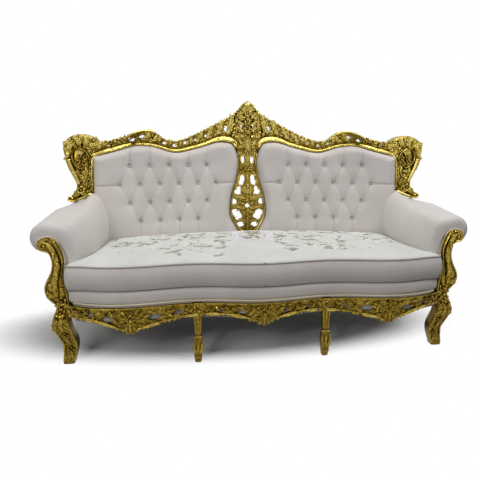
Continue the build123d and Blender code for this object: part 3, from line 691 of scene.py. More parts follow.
def apron_bay(drops, start, holes, broad_leaves):
    """The relief of one bay, with its pierced plate, and how many of its vertices are smooth."""
    bm = bmesh.new()
    edge = [(start + x, RAIL_TOP - drop) for x, drop in drops]
    low = fair(edge, 80)
    high = level(low[:, 0], RAIL_TOP)
    left = [(start + x, z, a, b) for x, z, a, b in holes]
    for middle, long, way in broad_leaves:
        edge_leaf(bm, low, start + middle, long, way)
    smooth = len(bm.verts)
    plate(bm, fair(edge, 140), fair([(x, RAIL_TOP) for x, _ in edge], 140), 18, left, APRON_THICK)
    moulding(bm, high - (0, 0.005), 0.009, 0.004)
    moulding(bm, low + (0, 0.007), 0.011, 0.007)
    foliage(bm, spots_between(low + (0, 0.010), high - (0, 0.012), APRON_PITCH), left, APRON_LEAF,
            lambda x, z: height_on(low, x) < z < RAIL_TOP - 0.004)
    rim_leaves(bm, left)
    tips(bm, low[::-1], 0.024, 0.014, 0.010, 1.5)
    for x in np.arange(low[0][0] + 0.016, low[-1][0], 0.030):
        foot = height_on(low, x)
        spot = np.array([x, foot + (RAIL_TOP - foot) * chance.uniform(0.3, 0.8)])
        if clear_of(spot, left, 0.008):
            rosette(bm, spot, chance.uniform(0.008, 0.012), 0.011, 5, 0.003)
    return bm, smooth


def hanging_drop(bm, x, drop):
    """A leafy drop: a flower over hanging leaves, and smaller flowers and leaves along the rail."""
    base, lip = SHELL_PROUD, RAIL_TOP - drop * 0.45
    for layer, fans in ((0.0, (-62, -36, 36, 62)), (0.003, (-20, 20)), (0.006, (0,))):
        for fan in fans:
            long = drop * (0.56 - 0.30 * abs(fan) / 62)
            line = stroke((x + fan * 0.0003, lip), 270 + fan, long, -fan * 0.5)
            leaf(bm, line, 0.020, 0.010, base * 0.4 + layer, lobes=3, full=0.6, lift=0.003, rows=14)
    for side in (-1, 1):
        root = (x + 0.008 * side, lip + 0.004)
        for reach, heading in ((0.050, 8), (0.042, -28), (0.036, 40)):
            sprig(bm, root, 90 - (90 - heading) * side, reach, 45 * side, 0.017, 0.011, 0.005)
        rosette(bm, (x + 0.030 * side, lip + 0.016), 0.012, 0.010, 5, base)
        rosette(bm, (x + 0.022 * side, lip - 0.014), 0.010, 0.010, 5, base)
    rosette(bm, (x, lip + 0.004), 0.017, 0.011, 6, base)
    rosette(bm, (x, lip + 0.030), 0.012, 0.010, 5, base)


low_x, low_drop = max(BAY_DROPS, key=lambda spot: spot[1])
for side in SIDES:
    bm, smooth = apron_bay(BAY_DROPS, WAIST_X, BAY_HOLES, BAY_LEAVES)
    carve(bm, on_apron, "front_apron", side, smooth=smooth, block=False)
whole_middle = [(-x, drop) for x, drop in MIDDLE_DROPS[:0:-1]] + MIDDLE_DROPS
both_holes = MIDDLE_HOLES + [(-x, z, a, b) for x, z, a, b in MIDDLE_HOLES]
bm, smooth = apron_bay(whole_middle, 0, both_holes, MIDDLE_LEAVES)
carve(bm, on_apron, "front_apron", "middle", smooth=smooth, block=False)
bm = bmesh.new()
for x, drop in ((0, MIDDLE_DROPS[0][1]), (WAIST_X + low_x, low_drop), (-WAIST_X - low_x, low_drop)):
    hanging_drop(bm, x, drop)
carve(bm, on_apron, "apron_shells")

# Side aprons and rear legs
# The side rails are faced with plain gilt boards with a bead along their arched lower edge and a spray of
# leaves in the middle. The rear legs and back posts are plain and gilt too.
SIDE_FACE_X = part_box("side_apron_right")[1].x
SIDE_ENDS = (-0.300, 0.090)
SIDE_DROP, SIDE_SPAN = 0.034, 0.335


def on_side(points):
    """Relief on the outside of the right side apron: (towards the rear, height, out)."""
    return np.column_stack([SIDE_FACE_X + points[:, 2], points[:, 0], points[:, 1]])


for side in SIDES:
    bm = bmesh.new()
    y = np.linspace(*SIDE_ENDS, 40)
    arch = np.column_stack([y, RAIL_BASE - SIDE_DROP * (1 - (y / SIDE_SPAN) ** 2)])
    moulding(bm, beside(arch, 0.006), 0.012, 0.008)
    moulding(bm, level(y, RAIL_TOP - 0.006), 0.010, 0.007)
    middle = (sum(SIDE_ENDS) / 2, (RAIL_TOP + RAIL_BASE) / 2 - 0.010)
    rosette(bm, middle, 0.024, 0.012, 6)
    for aim in (-1, 1):
        curl = stroke((middle[0] + 0.02 * aim, middle[1] - 0.012), 90 - 90 * aim, 0.130, 330 * aim, 2.2)
        scroll(bm, curl, 0.011, 0.010)
        for reach, heading in ((0.060, 20), (0.075, -12), (0.055, 45)):
            root = (middle[0] + 0.030 * aim, middle[1])
            sprig(bm, root, 90 - (90 - heading) * aim, reach, 40 * aim, 0.018, 0.009)
    carve(bm, on_side, "side_apron", side, ground_shade=0.45)
plain_gilt, tree, shader = new_finish("plain_gilt", 0.35, 1.0)
rubbed = surface_noise(tree, 30, 6, (1, 1, 0.4))
paint(tree, shader, rubbed, [(0.25, GILT_STOPS[1][1]), (0.75, GILT_STOPS[2][1])])
tree.links.new(between(tree, rubbed, 0.45, 0.25), shader.inputs["Roughness"])
bump(tree, shader, surface_noise(tree, 120, 3), 0.2, 0.001)
wear(both("rear_post", "rear_middle_leg"), plain_gilt)

# Deck
# The fixed seat deck: wadding under the same off-white cloth as the back, pulled down over the front rail
# and tacked. A strip of the same cloth faces the rail behind the pierced apron.
DECK_BASE, DECK_TOP = (corner.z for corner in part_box("deck_pad"))
BACK_RADIUS, BACK_Y = 2.600, 0.313
BACK_RAKE = math.radians(5.5)
PAD_DEPTH = 0.052
SEAT_REAR_X = 0.700
SEAT_SIDE = [(0.818, -0.150), (0.796, 0.030)]
SEAT_CORNER = (0.776, 0.128)
cloth = woven("off_white_cloth", (0.64, 0.595, 0.565), (0.71, 0.665, 0.635), 4200, 0.0004, 0.92, 0.25)


def seat_outline(inset, ahead):
    """The seat's plan, drawn in by a distance, with its rear edge ahead of the show-wood face."""
    right_half = FRONT_LINE[FRONT_LINE[:, 0] >= -1e-9]
    reach = (SEAT_END[0] - inset) / SEAT_END[0]
    knots = right_half[np.linspace(0, len(right_half) - 1, 40).astype(int)]
    front = fair(knots * (reach, 1) + (0, inset), 60)
    radius, centre = BACK_RADIUS - ahead - inset, BACK_Y - BACK_RADIUS
    rear_x = SEAT_REAR_X - inset
    rear = (rear_x, centre + math.sqrt(radius**2 - rear_x**2))
    flank = np.array(SEAT_SIDE) - (inset, 0)
    side = fair([front[-1], *flank], 30)
    corner = fair([flank[-1], np.array(SEAT_CORNER) - inset, rear], 24)
    x = np.linspace(rear_x, 0, 40)
    back = np.column_stack([x, centre + np.sqrt(radius**2 - x**2)])
    right = np.concatenate([front[:-1], side[:-1], corner[:-1], back])
    left = right[-2:0:-1] * (-1, 1)
    return np.concatenate([right, left])


def softened(ring, passes):
    """A closed outline with its corners eased."""
    for _ in range(passes):
        ring = (np.roll(ring, 1, 0) + 2 * ring + np.roll(ring, -1, 0)) / 4
    return ring


def drawn_out(ring, pull):
    """An outline with its two front corners drawn out towards the posts."""
    side = np.hstack([np.where(ring[:, :1] < 0, -1.0, 1.0), np.ones((len(ring), 1))])
    away = np.linalg.norm(ring * side - CORNER_SPOT, axis=1)
    return ring + np.exp(-((away / CORNER_REACH) ** 2))[:, None] * side * pull


def stacked(rings):
    """A closed form through rings of the same count, given as points (x, y, z) from the foot to the top."""
    bm = bmesh.new()
    start = bmesh.ops.create_circle(bm, cap_ends=False, segments=len(rings[0]), radius=1)["verts"]
    edges = list({edge for vert in start for edge in vert.link_edges})
    for vert, spot in zip(start, rings[0]):
        vert.co = spot
    last = start
    bottom = list(edges)
    for ring in rings[1:]:
        made = bmesh.ops.extrude_edge_only(bm, edges=edges)["geom"]
        fresh = {item for item in made if isinstance(item, bmesh.types.BMVert)}
        edges = [item for item in made if isinstance(item, bmesh.types.BMEdge)]
        follow = {}
        for vert in fresh:
            for edge in vert.link_edges:
                other = edge.other_vert(vert)
                if other not in fresh:
                    follow[other] = vert
        last = [follow[vert] for vert in last]
        for vert, spot in zip(last, ring):
            vert.co = spot
    bmesh.ops.edgeloop_fill(bm, edges=bottom)
    bmesh.ops.edgeloop_fill(bm, edges=edges)
    bmesh.ops.recalc_face_normals(bm, faces=bm.faces)
    return bm


DECK_NIP = 0.009
CORNER_SPOT, CORNER_REACH = (0.866, -0.346), 0.045
DECK_PULL = (0.017, -0.006)
FACING_THICK, FACING_BACK, FACING_TURN = 0.0015, -0.006, 0.012     # cloth on the rail, behind the apron
deck_rings = []
for share in np.linspace(0, 1, 13):
    outline = softened(seat_outline(DECK_NIP * abs(2 * share - 1) ** 3, DECK_NIP - 0.020), 4)
    deck_rings.append(level(drawn_out(outline, DECK_PULL), DECK_BASE + share * (DECK_TOP - DECK_BASE)))
top = deck_rings[-1]
middle = np.array([0, -0.05, DECK_TOP])
for share in (0.96, 0.85, 0.6, 0.3):
    deck_rings.append(middle + (top - middle) * share)
bm = bmesh.new()
facing_x = FRONT_LINE[4:-4, 0]
plate(bm, level(facing_x, RAIL_BASE - FACING_TURN), level(facing_x, RAIL_TOP), 4, [], FACING_THICK)
x, z, out = points_of(bm).T
lay(bm, np.column_stack([x, height_on(FRONT_LINE, x) + FACING_BACK - out, z]))
new_piece("rail_facing", bm, [cloth])
deck = new_piece("deck_upholstery", stacked(deck_rings), [cloth], sharp=70)
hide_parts("deck_pad")

# Gimp
# A twisted cord of pale silk that covers the tacks along the foot of the deck, between cloth and carving.
# The same cord runs round the arm posts.
GIMP_SPAN = 0.868
gimp_finish = woven("pale_gimp", (0.62, 0.55, 0.40), (0.80, 0.74, 0.58), 5000, 0.0003, 0.7)


def twisted_cord(bm, spine, radius, pitch):
    """Two strands that wind round a line of points, with one turn to each pitch."""
    run = arc(spine)
    at = np.linspace(0, run[-1], int(run[-1] / pitch * 7))
    line = sampled(at, run, spine)
    tangent = np.gradient(line, axis=0)
    tangent /= np.linalg.norm(tangent, axis=1, keepdims=True)
    side = np.cross(tangent, (0.0, 0.31, 0.95))
    side /= np.linalg.norm(side, axis=1, keepdims=True)
    over = np.cross(side, tangent)
    for phase in (0, np.pi):
        angle = (2 * np.pi * at / pitch + phase)[:, None]
        strand = line + (side * np.cos(angle) + over * np.sin(angle)) * radius * 0.5
        tube(bm, strand, radius * 0.56, side, over)


def tube(bm, line, radius, side, over, sides=6):
    """A round closed tube along points, with the two directions across it."""
    angle = (np.arange(sides) * 2 * np.pi / sides)[None, :, None]
    rings = line[:, None] + (side[:, None] * np.cos(angle) + over[:, None] * np.sin(angle)) * radius
    strip(bm, rings, (line[0], line[-1]))


bm = bmesh.new()
path = FRONT_LINE[np.abs(FRONT_LINE[:, 0]) <= GIMP_SPAN]
twisted_cord(bm, level(path - (0, 0.003), RAIL_TOP + 0.006), 0.006, 0.016)
bmesh.ops.recalc_face_normals(bm, faces=bm.faces)
gimp = new_piece("front_gimp_cord", bm, [gimp_finish])
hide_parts("front_gimp")

# Back pads
# Two deep-buttoned panels: wadding under off-white cloth, drawn down to the boards by twenty buttons each.
# The cloth folds into pleats between the buttons, up to the crest, down to the seat and out to the sides.
PANEL_INNER = [(0.052, 0), (0.062, 0.109), (0.109, 0.209), (0.106, 0.314), (0.070, 0.449), (0.060, 0.560)]
PANEL_TOP = [(0.100, 0.644), (0.150, 0.653), (0.300, 0.617), (0.430, 0.592), (0.565, 0.628), (0.640, 0.633),
             (0.760, 0.602), (0.873, 0.574)]
PANEL_ELBOW, PANEL_FOOT_X = 0.377, 0.850
BUTTON_ROWS = [(0.519, 5), (0.413, 6), (0.307, 5), (0.202, 4)]
BUTTON_PITCH, BUTTON_MIDDLE = 0.109, 0.465
BUTTON_RADIUS, TUFT_DEPTH = 0.011, 0.030
PAD_REBATE, PAD_LIP, PAD_EDGE = 0.008, 0.008, 0.042
PATCH_COLUMNS, PATCH_ROWS = 190, 150
PULL_DEPTH, PULL_CORE, PULL_REACH = 0.015, 0.011, 0.024     # the dimple at a button
PLEAT_NEAR = 0.050                                          # pleats deepen this near to a button
FOLD, FOLD_SWEEP = (0.0036, 0.006), (0.004, 0.030)          # depth and width, the fold's own and round it
SEAM, SEAM_SWEEP = (0.0095, 0.0040), (0.003, 0.024)


def on_back(points, proud=0.0):
    """Points of the back: (x, height over the deck, out from a layer that stands proud of the show wood)."""
    x, height, ahead = points[:, 0], points[:, 1], proud + points[:, 2]
    bend = np.sqrt((BACK_RADIUS - ahead) ** 2 - x**2) - BACK_RADIUS
    rise = (height + bend * math.sin(BACK_RAKE)) / math.cos(BACK_RAKE)
    y = BACK_Y + bend * math.cos(BACK_RAKE) + rise * math.sin(BACK_RAKE)
    return np.column_stack([x, y, DECK_TOP + height])


def to_lines(spots, starts, ends):
    """Each spot's distance to the nearest of some straight runs."""
    best = np.full(len(spots), 9.0)
    for a, b in zip(np.asarray(starts, float), np.asarray(ends, float)):
        run = b - a
        t = np.clip(((spots - a) @ run) / max(run @ run, 1e-12), 0, 1)
        best = np.minimum(best, np.linalg.norm(spots - a - t[:, None] * run, axis=1))
    return best


panel_edge = fair(PANEL_INNER + PANEL_TOP, 260)
shoulder = int(np.argmin(panel_edge[:, 0] + 9 * (panel_edge[:, 1] < 0.5) - 0.5 * panel_edge[:, 1]))
sides = [fair(panel_edge[:shoulder + 1], PATCH_ROWS), fair(panel_edge[shoulder:], PATCH_COLUMNS)]
corner, foot = panel_edge[-1], panel_edge[0]
elbow_share = PANEL_ELBOW / corner[1]
climb = np.linspace(0, 1, PATCH_ROWS)
outer = np.column_stack([np.interp(climb, [0, elbow_share, 1], [PANEL_FOOT_X, corner[0], corner[0]]),
                         climb * corner[1]])
panel_foot = level(np.linspace(foot[0], PANEL_FOOT_X, PATCH_COLUMNS), 0)
panel_loop = np.concatenate([panel_edge, outer[::-1], panel_foot[::-1]])


def panel_patch(bm):
    """A grid that fills the right panel's outline; gives its vertices and their places as (x, height)."""
    verts = bmesh.ops.create_grid(bm, x_segments=PATCH_COLUMNS - 1, y_segments=PATCH_ROWS - 1,
                                  size=0.5)["verts"]
    flat = np.array([v.co for v in verts])[:, :2] + 0.5
    column = np.rint(flat[:, 0] * (PATCH_COLUMNS - 1)).astype(int)
    row = np.rint(flat[:, 1] * (PATCH_ROWS - 1)).astype(int)
    s, t = flat[:, :1], flat[:, 1:]
    left, top = sides
    straight = (1 - s) * left[row] + s * outer[row] + (1 - t) * panel_foot[column] + t * top[column]
    corners = (1 - s) * (1 - t) * left[0] + s * (1 - t) * outer[0] + (1 - s) * t * top[0] + s * t * outer[-1]
    return verts, straight - corners


def closed_patch(bm, front, places, depth, rear):
    """Sets the patch out by its depth, and closes it with a second skin at the rear."""
    twin = bmesh.ops.duplicate(bm, geom=[*bm.verts, *bm.edges, *bm.faces])
    rear_of = {vert: twin["vert_map"][vert] for vert in front}
    for vert, spot, out in zip(front, places, depth):
        vert.co = (*spot, out)
        rear_of[vert].co = (*spot, rear)
    bmesh.ops.reverse_faces(bm, faces=list({f for v in rear_of.values() for f in v.link_faces}))
    rims = [edge for edge in bm.edges if edge.is_boundary]
    bmesh.ops.bridge_loops(bm, edges=rims)


button_spots = []
for height, count in BUTTON_ROWS:
    start = BUTTON_MIDDLE - BUTTON_PITCH * (count - 1) / 2
    button_spots.append([(start + BUTTON_PITCH * i, height) for i in range(count)])
pleats = [(a, b) for upper, lower in zip(button_spots, button_spots[1:]) for a in upper for b in lower
          if abs(a[0] - b[0]) < BUTTON_PITCH * 0.6]
long_pleats = [(a, (a[0], height_on(PANEL_TOP, a[0]))) for a in button_spots[0]]
long_pleats += [(a, (a[0], 0.0)) for a in button_spots[-1]]
widest = max(button_spots, key=len)
long_pleats += [(widest[-1], (corner[0], widest[-1][1])), (widest[0], (foot[0], widest[0][1]))]
flat_spots = [spot for row in button_spots for spot in row]


def rounded(places, width):
    """The rounding of a pad at places of the panel: none on its edge, whole a width away from it."""
    edge = np.clip(to_lines(places, panel_loop, np.roll(panel_loop, -1, 0)) / width, 0, 1)
    return np.sqrt(1 - (1 - edge) ** 2)


def crease(away, depth, width):
    """How deep a crease is, at a distance away from it."""
    return depth * np.exp(-away / width)


def tufted(places):
    """How far the buttoned cloth stands out from the show wood at places of the panel."""
    round_edge = rounded(places, PAD_EDGE)
    to_button = to_lines(places, flat_spots, flat_spots)
    to_pleat = to_lines(places, *zip(*pleats))
    to_long = to_lines(places, *zip(*long_pleats))
    near = np.exp(-to_button / PLEAT_NEAR)
    pull = PULL_DEPTH * (np.exp(-((to_button / PULL_CORE) ** 2)) + np.exp(-to_button / PULL_REACH))
    fold = (0.35 + 0.85 * near) * crease(to_pleat, *FOLD) + crease(to_pleat, *FOLD_SWEEP)
    seam = (0.75 + 0.5 * near) * crease(to_long, *SEAM) + crease(to_long, *SEAM_SWEEP)
    return PAD_LIP + (PAD_DEPTH - PAD_LIP - pull - np.maximum(fold, seam)) * round_edge


for side in SIDES:
    bm = bmesh.new()
    front, places = panel_patch(bm)
    closed_patch(bm, front, places, tufted(places), -PAD_REBATE)
    lay(bm, on_back(points_of(bm)), side == "left")
    pad = new_piece(f"back_upholstery_{side}", bm, [cloth], sharp=75)
    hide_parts(f"back_pad_{side}")

# Buttons
# Foil-backed faceted crystals, flat in front, one at each crossing of the pleats. They are sewn through the
# pads to the boards behind.
crystal, tree, shader = new_finish("cut_crystal", 0.06, 1.0)
# Painted reflection: noise spreads the stones' colour from dark to light grey, for the flashes of light in
# the cut crystal.
sparkle = surface_noise(tree, 220, 2)
paint(tree, shader, sparkle, [(0.35, (0.22, 0.22, 0.22)), (0.65, (0.62, 0.62, 0.62))])
for side in SIDES:
    bm = bmesh.new()
    for x, height in flat_spots:
        stone = bmesh.ops.create_uvsphere(bm, u_segments=8, v_segments=6, radius=BUTTON_RADIUS)["verts"]
        turn = Matrix.Rotation(float(chance.uniform(0, 1)), 3, "Z")
        local = np.array([turn @ Vector((v.co.x, v.co.y, max(v.co.z, -0.2 * BUTTON_RADIUS))) for v in stone])
        local[:, 2] = np.minimum(local[:, 2] * 0.85, 0.0068) + 0.001
        local[:, :2] += (x, height)
        for vert, spot in zip(stone, local):
            vert.co = spot
    lay(bm, on_back(points_of(bm), PAD_DEPTH - TUFT_DEPTH), side == "left")
    stones = new_piece(f"crystal_buttons_{side}", bm, [crystal], sharp=5)
    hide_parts(f"tuft_buttons_{side}")

# Outside back
# Plain off-white cloth over thin wadding, tacked to the back of the frame behind each panel. It hides the
# boards that the buttons are tied to.
FRAME_THICK, COVER_EDGE, COVER_SWELL, COVER_THICK = 0.048, 0.09, 0.006, 0.005
for side in SIDES:
    bm = bmesh.new()
    front, places = panel_patch(bm)
    swell = COVER_SWELL * rounded(places, COVER_EDGE)
    closed_patch(bm, front, places, -FRAME_THICK - swell, -FRAME_THICK + COVER_THICK)
    lay(bm, on_back(points_of(bm)), side == "left")
    cover = new_piece(f"outside_back_{side}", bm, [cloth], sharp=75)
    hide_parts(f"back_cover_{side}")

# Crest rail
# Carved and pierced hardwood, gilt: a smooth cove along the panel that broadens at the shoulders, acanthus
# fronds and leaves above it, and a C-scroll volute over each panel's crown. Dowelled to cartouche and ear.
CARVING_PROUD = 0.012
CREST_TOP = [(0.075, 0.829), (0.200, 0.764), (0.320, 0.703), (0.430, 0.667), (0.490, 0.677), (0.545, 0.717),
             (0.605, 0.727), (0.680, 0.705), (0.760, 0.675), (0.850, 0.665)]
CREST_MARGIN, CREST_CUT = 0.022, 0.009
PIERCED_PITCH, PIERCED_LENGTH, PIERCED_SHARE, PIERCED_RISE = 0.062, 0.040, 0.30, 0.55
CREST_OPEN = (0.75, 0.25, 0.5, 0.5, 0.7, 0.8, 0.7, 0.2, 1.0, 0.95, 0.35, 0.6)
COVE_WIDTHS = [(0.055, 0.016), (0.062, 0.022), (0.085, 0.036), (0.150, 0.038), (0.230, 0.024), (0.450, 0.020),
               (0.620, 0.017), (0.720, 0.026), (0.800, 0.026), (0.873, 0.018)]
COVE_RISE = 0.42
CREST_PITCH, CREST_LEAF = 0.018, 0.026
VOLUTE = [(0.720, 0.664), (0.675, 0.696), (0.630, 0.714), (0.590, 0.720), (0.554, 0.713), (0.531, 0.695),
          (0.530, 0.676), (0.547, 0.663), (0.565, 0.669), (0.567, 0.684), (0.556, 0.689)]
LOOPS = [[(0.694, 0.660), (0.655, 0.686), (0.615, 0.698), (0.585, 0.696), (0.566, 0.684)],
         [(0.676, 0.650), (0.640, 0.668), (0.605, 0.677), (0.580, 0.674)]]
HUMP = (0.525, 0.715)


def on_layer(proud):
    """The surface of a carved layer that stands proud of the show wood."""
    return lambda points: on_back(points, proud)


def cove(bm, run):
    """The smooth moulding along a run of the panel's edge; gives its outer line."""
    wide = height_on(COVE_WIDTHS, run[:, 0])[:, None]
    out = normals_of(run)
    band(bm, run + out * (wide / 2 + 0.001), half_round(1, COVE_RISE, 0.1, sides=14), wide[:, 0])
    return run + out * wide


def fronds(bm, low, high, pitch, lean, holes):
    """Acanthus fronds that rise from the moulding to the upper edge, each as tall as the rail there."""
    flip = 1
    for x in np.arange(low[0][0] + pitch / 2, low[-1][0], pitch):
        flip = -flip
        foot, top = height_on(low, x), height_on(high, x)
        tall = top - foot
        spot = (x, foot + tall * (0.05 if flip > 0 else 0.25))
        if clear_of(spot, holes, 0.004):
            sprig(bm, spot, 90 + lean + 26 * flip, tall * chance.uniform(0.7, 0.9), -50 * flip,
                  min(0.017, tall * 0.32), chance.uniform(0.010, 0.014), 0.003)


def piercings(low, high, start, stop):
    """The oval holes of a carved band, as (x, height, half length, half height)."""
    count = max(1, round((stop - start) / PIERCED_PITCH))
    found = []
    for i in range(count):
        x = start + (i + 0.5) * (stop - start) / count
        foot, tall = height_on(low, x), height_on(high, x) - height_on(low, x)
        found.append((x, foot + PIERCED_RISE * tall, PIERCED_LENGTH / 2, PIERCED_SHARE * tall / 2))
    return found


def draw_in(bm, holes, shares):
    """Draws in the rims of a block's holes, each to a share of its size. The block lies on one side of the
    sofa, so its holes are found by |x|."""
    for vert in bm.verts:
        flip = -1 if vert.co.x < 0 else 1
        x, z = vert.co.x * flip, vert.co.z - DECK_TOP
        for (hole_x, hole_z, a, b), share in zip(holes, shares):
            if abs(math.hypot((x - hole_x) / a, (z - hole_z) / b) - 1) < 0.04:
                vert.co.x += flip * (share - 1) * (x - hole_x)
                vert.co.z += (share - 1) * (z - hole_z)
                break


crest_line = fair(CREST_TOP, 120)
crest_holes = piercings(PANEL_TOP, CREST_TOP, CREST_TOP[0][0] + CREST_MARGIN, CREST_TOP[-1][0] - CREST_MARGIN)
open_holes = [(x, z, a * share, b * share) for (x, z, a, b), share in zip(crest_holes, CREST_OPEN)]


def trim_crest(bm):
    """Takes the block's upper edge down, so that the leaf tips make the outline, and closes its holes in."""
    for vert in bm.verts:
        if vert.co.z > DECK_TOP + height_on(crest_line, abs(vert.co.x)) - 0.004:
            vert.co.z -= CREST_CUT
    draw_in(bm, crest_holes, CREST_OPEN)


for side in SIDES:
    bm = bmesh.new()
    run = panel_edge[shoulder:]
    low = cove(bm, run[run[:, 0] > 0.076])
    scroll(bm, fair(VOLUTE, 60), 0.015, 0.017, 0.004, 0.5, 60)
    smooth = len(bm.verts)
    moulding(bm, beside(low, 0.006), 0.006, 0.010)
    low = beside(low, 0.010)
    low = low[(low[:, 0] > 0.078) & (low[:, 0] < 0.872)]
    foliage(bm, spots_between(low, crest_line - (0, 0.014), CREST_PITCH), open_holes, CREST_LEAF,
            lambda x, z: height_on(low, x) < z < height_on(crest_line, x) - 0.006)
    rim_leaves(bm, open_holes)
    fronds(bm, low, crest_line - (0, 0.004), 0.030, 12, open_holes)
    for off_hump in (crest_line[:, 0] < HUMP[0], crest_line[:, 0] > HUMP[1]):
        tips(bm, crest_line[off_hump] - (0, 0.004), 0.020, 0.013, 0.010, 1.2)
    for x in np.arange(0.100, 0.870, 0.036):
        foot, top = height_on(low, x), height_on(crest_line, x)
        spot = (x, foot + (top - foot) * chance.uniform(0.15, 0.75))
        if clear_of(spot, open_holes, 0.006):
            rosette(bm, spot, chance.uniform(0.008, 0.012), 0.012, 5, 0.004)
    for loop in LOOPS:
        scroll(bm, fair(loop, 30), 0.009, 0.014, 0.003, 0.3, 24)
    for fan in np.linspace(150, 265, 6):
        leaf(bm, stroke((0.545, 0.688), fan, 0.032, 30), 0.009, 0.012, 0.005, lift=0.003)
    carve(bm, on_layer(CARVING_PROUD), "crest", side, "crest_rail", trim_crest, 0.36, smooth)

# Cartouche
# The carved block amid the crest, gilt: a rounded palmette over a column of flowers between leaves, with
# the panels' smooth coves running in below. It is dowelled between the crest rails and sits on the splat.
CARTOUCHE_PROUD = 0.024
CARTOUCHE_EYES = [(x, 0.754, 0.008, 0.020) for x in (-0.0375, 0.0375)]
CARTOUCHE_SIDE = np.array([(0.612, 0.052), (0.660, 0.060), (0.680, 0.072), (0.826, 0.072), (0.846, 0.050),
                           (0.880, 0.022)])      # height, half width
CARTOUCHE_SPRIGS = [((0.022, 0.796), 35, 0.042), ((0.020, 0.758), 10, 0.042), ((0.024, 0.716), 30, 0.042),
                    ((0.018, 0.690), -5, 0.046), ((0.042, 0.790), 62, 0.042), ((0.052, 0.742), -30, 0.032),
                    ((0.040, 0.690), -20, 0.036), ((0.030, 0.640), 40, 0.036)]      # root, heading, length

bm = bmesh.new()
for aim in (-1, 1):
    run = panel_edge[shoulder - 26:shoulder + 40]
    run = run[(run[:, 0] < 0.084) & (run[:, 1] > 0.612)]
    wide = np.interp(run[:, 1], [0.612, 0.645], [0.014, 0.032])[:, None]
    horn = (run + normals_of(run) * (wide / 2 + 0.001)) * (aim, 1)
    band(bm, horn, half_round(1, 0.36, 0.1, sides=14), wide[:, 0])
smooth = len(bm.verts)
fill = [(x * aim, height) for height in np.arange(0.622, 0.870, CREST_PITCH) for aim in (-1, 1)
        for x in np.arange(0.005, height_on(CARTOUCHE_SIDE, height), CREST_PITCH)]
foliage(bm, fill, CARTOUCHE_EYES, CREST_LEAF, lambda x, z: abs(x) < height_on(CARTOUCHE_SIDE, z) - 0.004)
for fan in np.linspace(-80, 80, 7):
    long = 0.060 - 0.018 * abs(fan) / 80
    line = stroke((0, 0.836), 90 - fan, long, fan * 0.35)
    leaf(bm, line, 0.022, 0.012, 0.004, widest=1.0, full=0.6, lobes=2, lift=0.003, rows=14)
for height, radius, petals in ((0.826, 0.019, 6), (0.776, 0.017, 5), (0.734, 0.016, 5), (0.694, 0.014, 5)):
    rosette(bm, (0, height), radius, 0.013, petals, 0.006)
for aim in (-1, 1):
    for x, height, lean, long, curl in ((0.062, 0.700, 14, 0.125, 190), (0.020, 0.664, 66, 0.105, 250)):
        scroll(bm, stroke((x * aim, height), 90 - lean * aim, long, curl * aim, 1.6), 0.010, 0.013, 0.004)
    for root, heading, reach in CARTOUCHE_SPRIGS:
        sprig(bm, (root[0] * aim, root[1]), 90 - (90 - heading) * aim, reach, 55 * aim, 0.015, 0.012, 0.003)
    for x, height in ((0.050, 0.812), (0.056, 0.716)):
        rosette(bm, (x * aim, height), 0.012, 0.012, 5, 0.005)
for fan in (-38, 38, -18, 18, 0):
    line = stroke((0, 0.612), 90 - fan, 0.080 - abs(fan) * 0.0008, fan * 0.3)
    leaf(bm, line, 0.020, 0.012, 0.006 - abs(fan) * 0.0001, lobes=3, lift=0.003, rows=14)
dome = CARTOUCHE_SIDE[:2:-1, ::-1]
for aim in (-1, 1):
    edge = np.concatenate([[(0, 0.892)], dome]) * (aim, 1)
    tips(bm, fair(edge[::-aim], 30) - (0, 0.006), 0.020, 0.013, 0.011, 1.2, 0.013)
bead(bm, (0, 0.878), 0.020, 0.018, 0.004)
carve(bm, on_layer(CARTOUCHE_PROUD), "cartouche", node="crest_cartouche", ground_shade=0.32, smooth=smooth)

# Ears
# The carved wings at the crest's ends, gilt: a ruffled leafy brow, a C-scroll round a hollow of flowers, two
# smooth bands down to a flower, and a curled foot on the arm. Dowelled to the crest and the back post.
EAR_CURVE = [(0.850, 0.665), (0.885, 0.687), (0.930, 0.698), (0.980, 0.684), (1.013, 0.640), (1.008, 0.582),
             (0.990, 0.514), (0.969, 0.462), (0.956, 0.410), (0.970, 0.380), (1.003, 0.350)]
EAR_HOLES = [(x, height, 0.0133 * size, 0.025 * size)
             for x, height, size in ((0.945, 0.612, 0.8), (0.938, 0.545, 0.8), (0.930, 0.475, 0.5))]
EAR_OPEN = (0.2, 0.35, 0.6)
EAR_PITCH, EAR_LEAF = 0.0145, 0.024
EAR_BROW = 44           # how many points of the outline the leafy brow takes
HOLLOW, HOLLOW_SIZE = (0.932, 0.566), (0.040, 0.058)
EAR_FLOWERS = [(0.916, 0.540), (0.948, 0.546), (0.910, 0.570), (0.938, 0.582), (0.928, 0.522)]
EAR_FOOT_SCROLL = [(0.876, 0.376), (0.912, 0.359), (0.946, 0.346), (0.976, 0.338), (0.994, 0.346),
                   (0.992, 0.360), (0.980, 0.362), (0.976, 0.353)]
EAR_INNER = [(0.800, 0.602), (0.838, 0.594), (0.864, 0.578), (0.876, 0.550), (0.879, 0.500), (0.879, 0.380)]
EAR_BAND = [(0.905, 0.520), (0.900, 0.492), (0.908, 0.462), (0.922, 0.432)]
EAR_LOBES = [((0.972, 0.652), -58, 0.064, -20, 0.030), ((0.990, 0.604), -80, 0.046, 30, 0.024),
             ((0.958, 0.640), 32, 0.058, -60, 0.034), ((0.936, 0.636), 84, 0.058, -55, 0.034),
             ((0.914, 0.636), 122, 0.054, -50, 0.032), ((0.888, 0.634), 160, 0.050, 40, 0.026)]
HOLLOW_TILT = math.radians(-22)
ear_line = fair(EAR_CURVE, 90)
ear_side = ear_line[::-1][:62, ::-1]        # height, x


def trim_ear(bm):
    """Closes the block's holes in."""
    draw_in(bm, EAR_HOLES, EAR_OPEN)


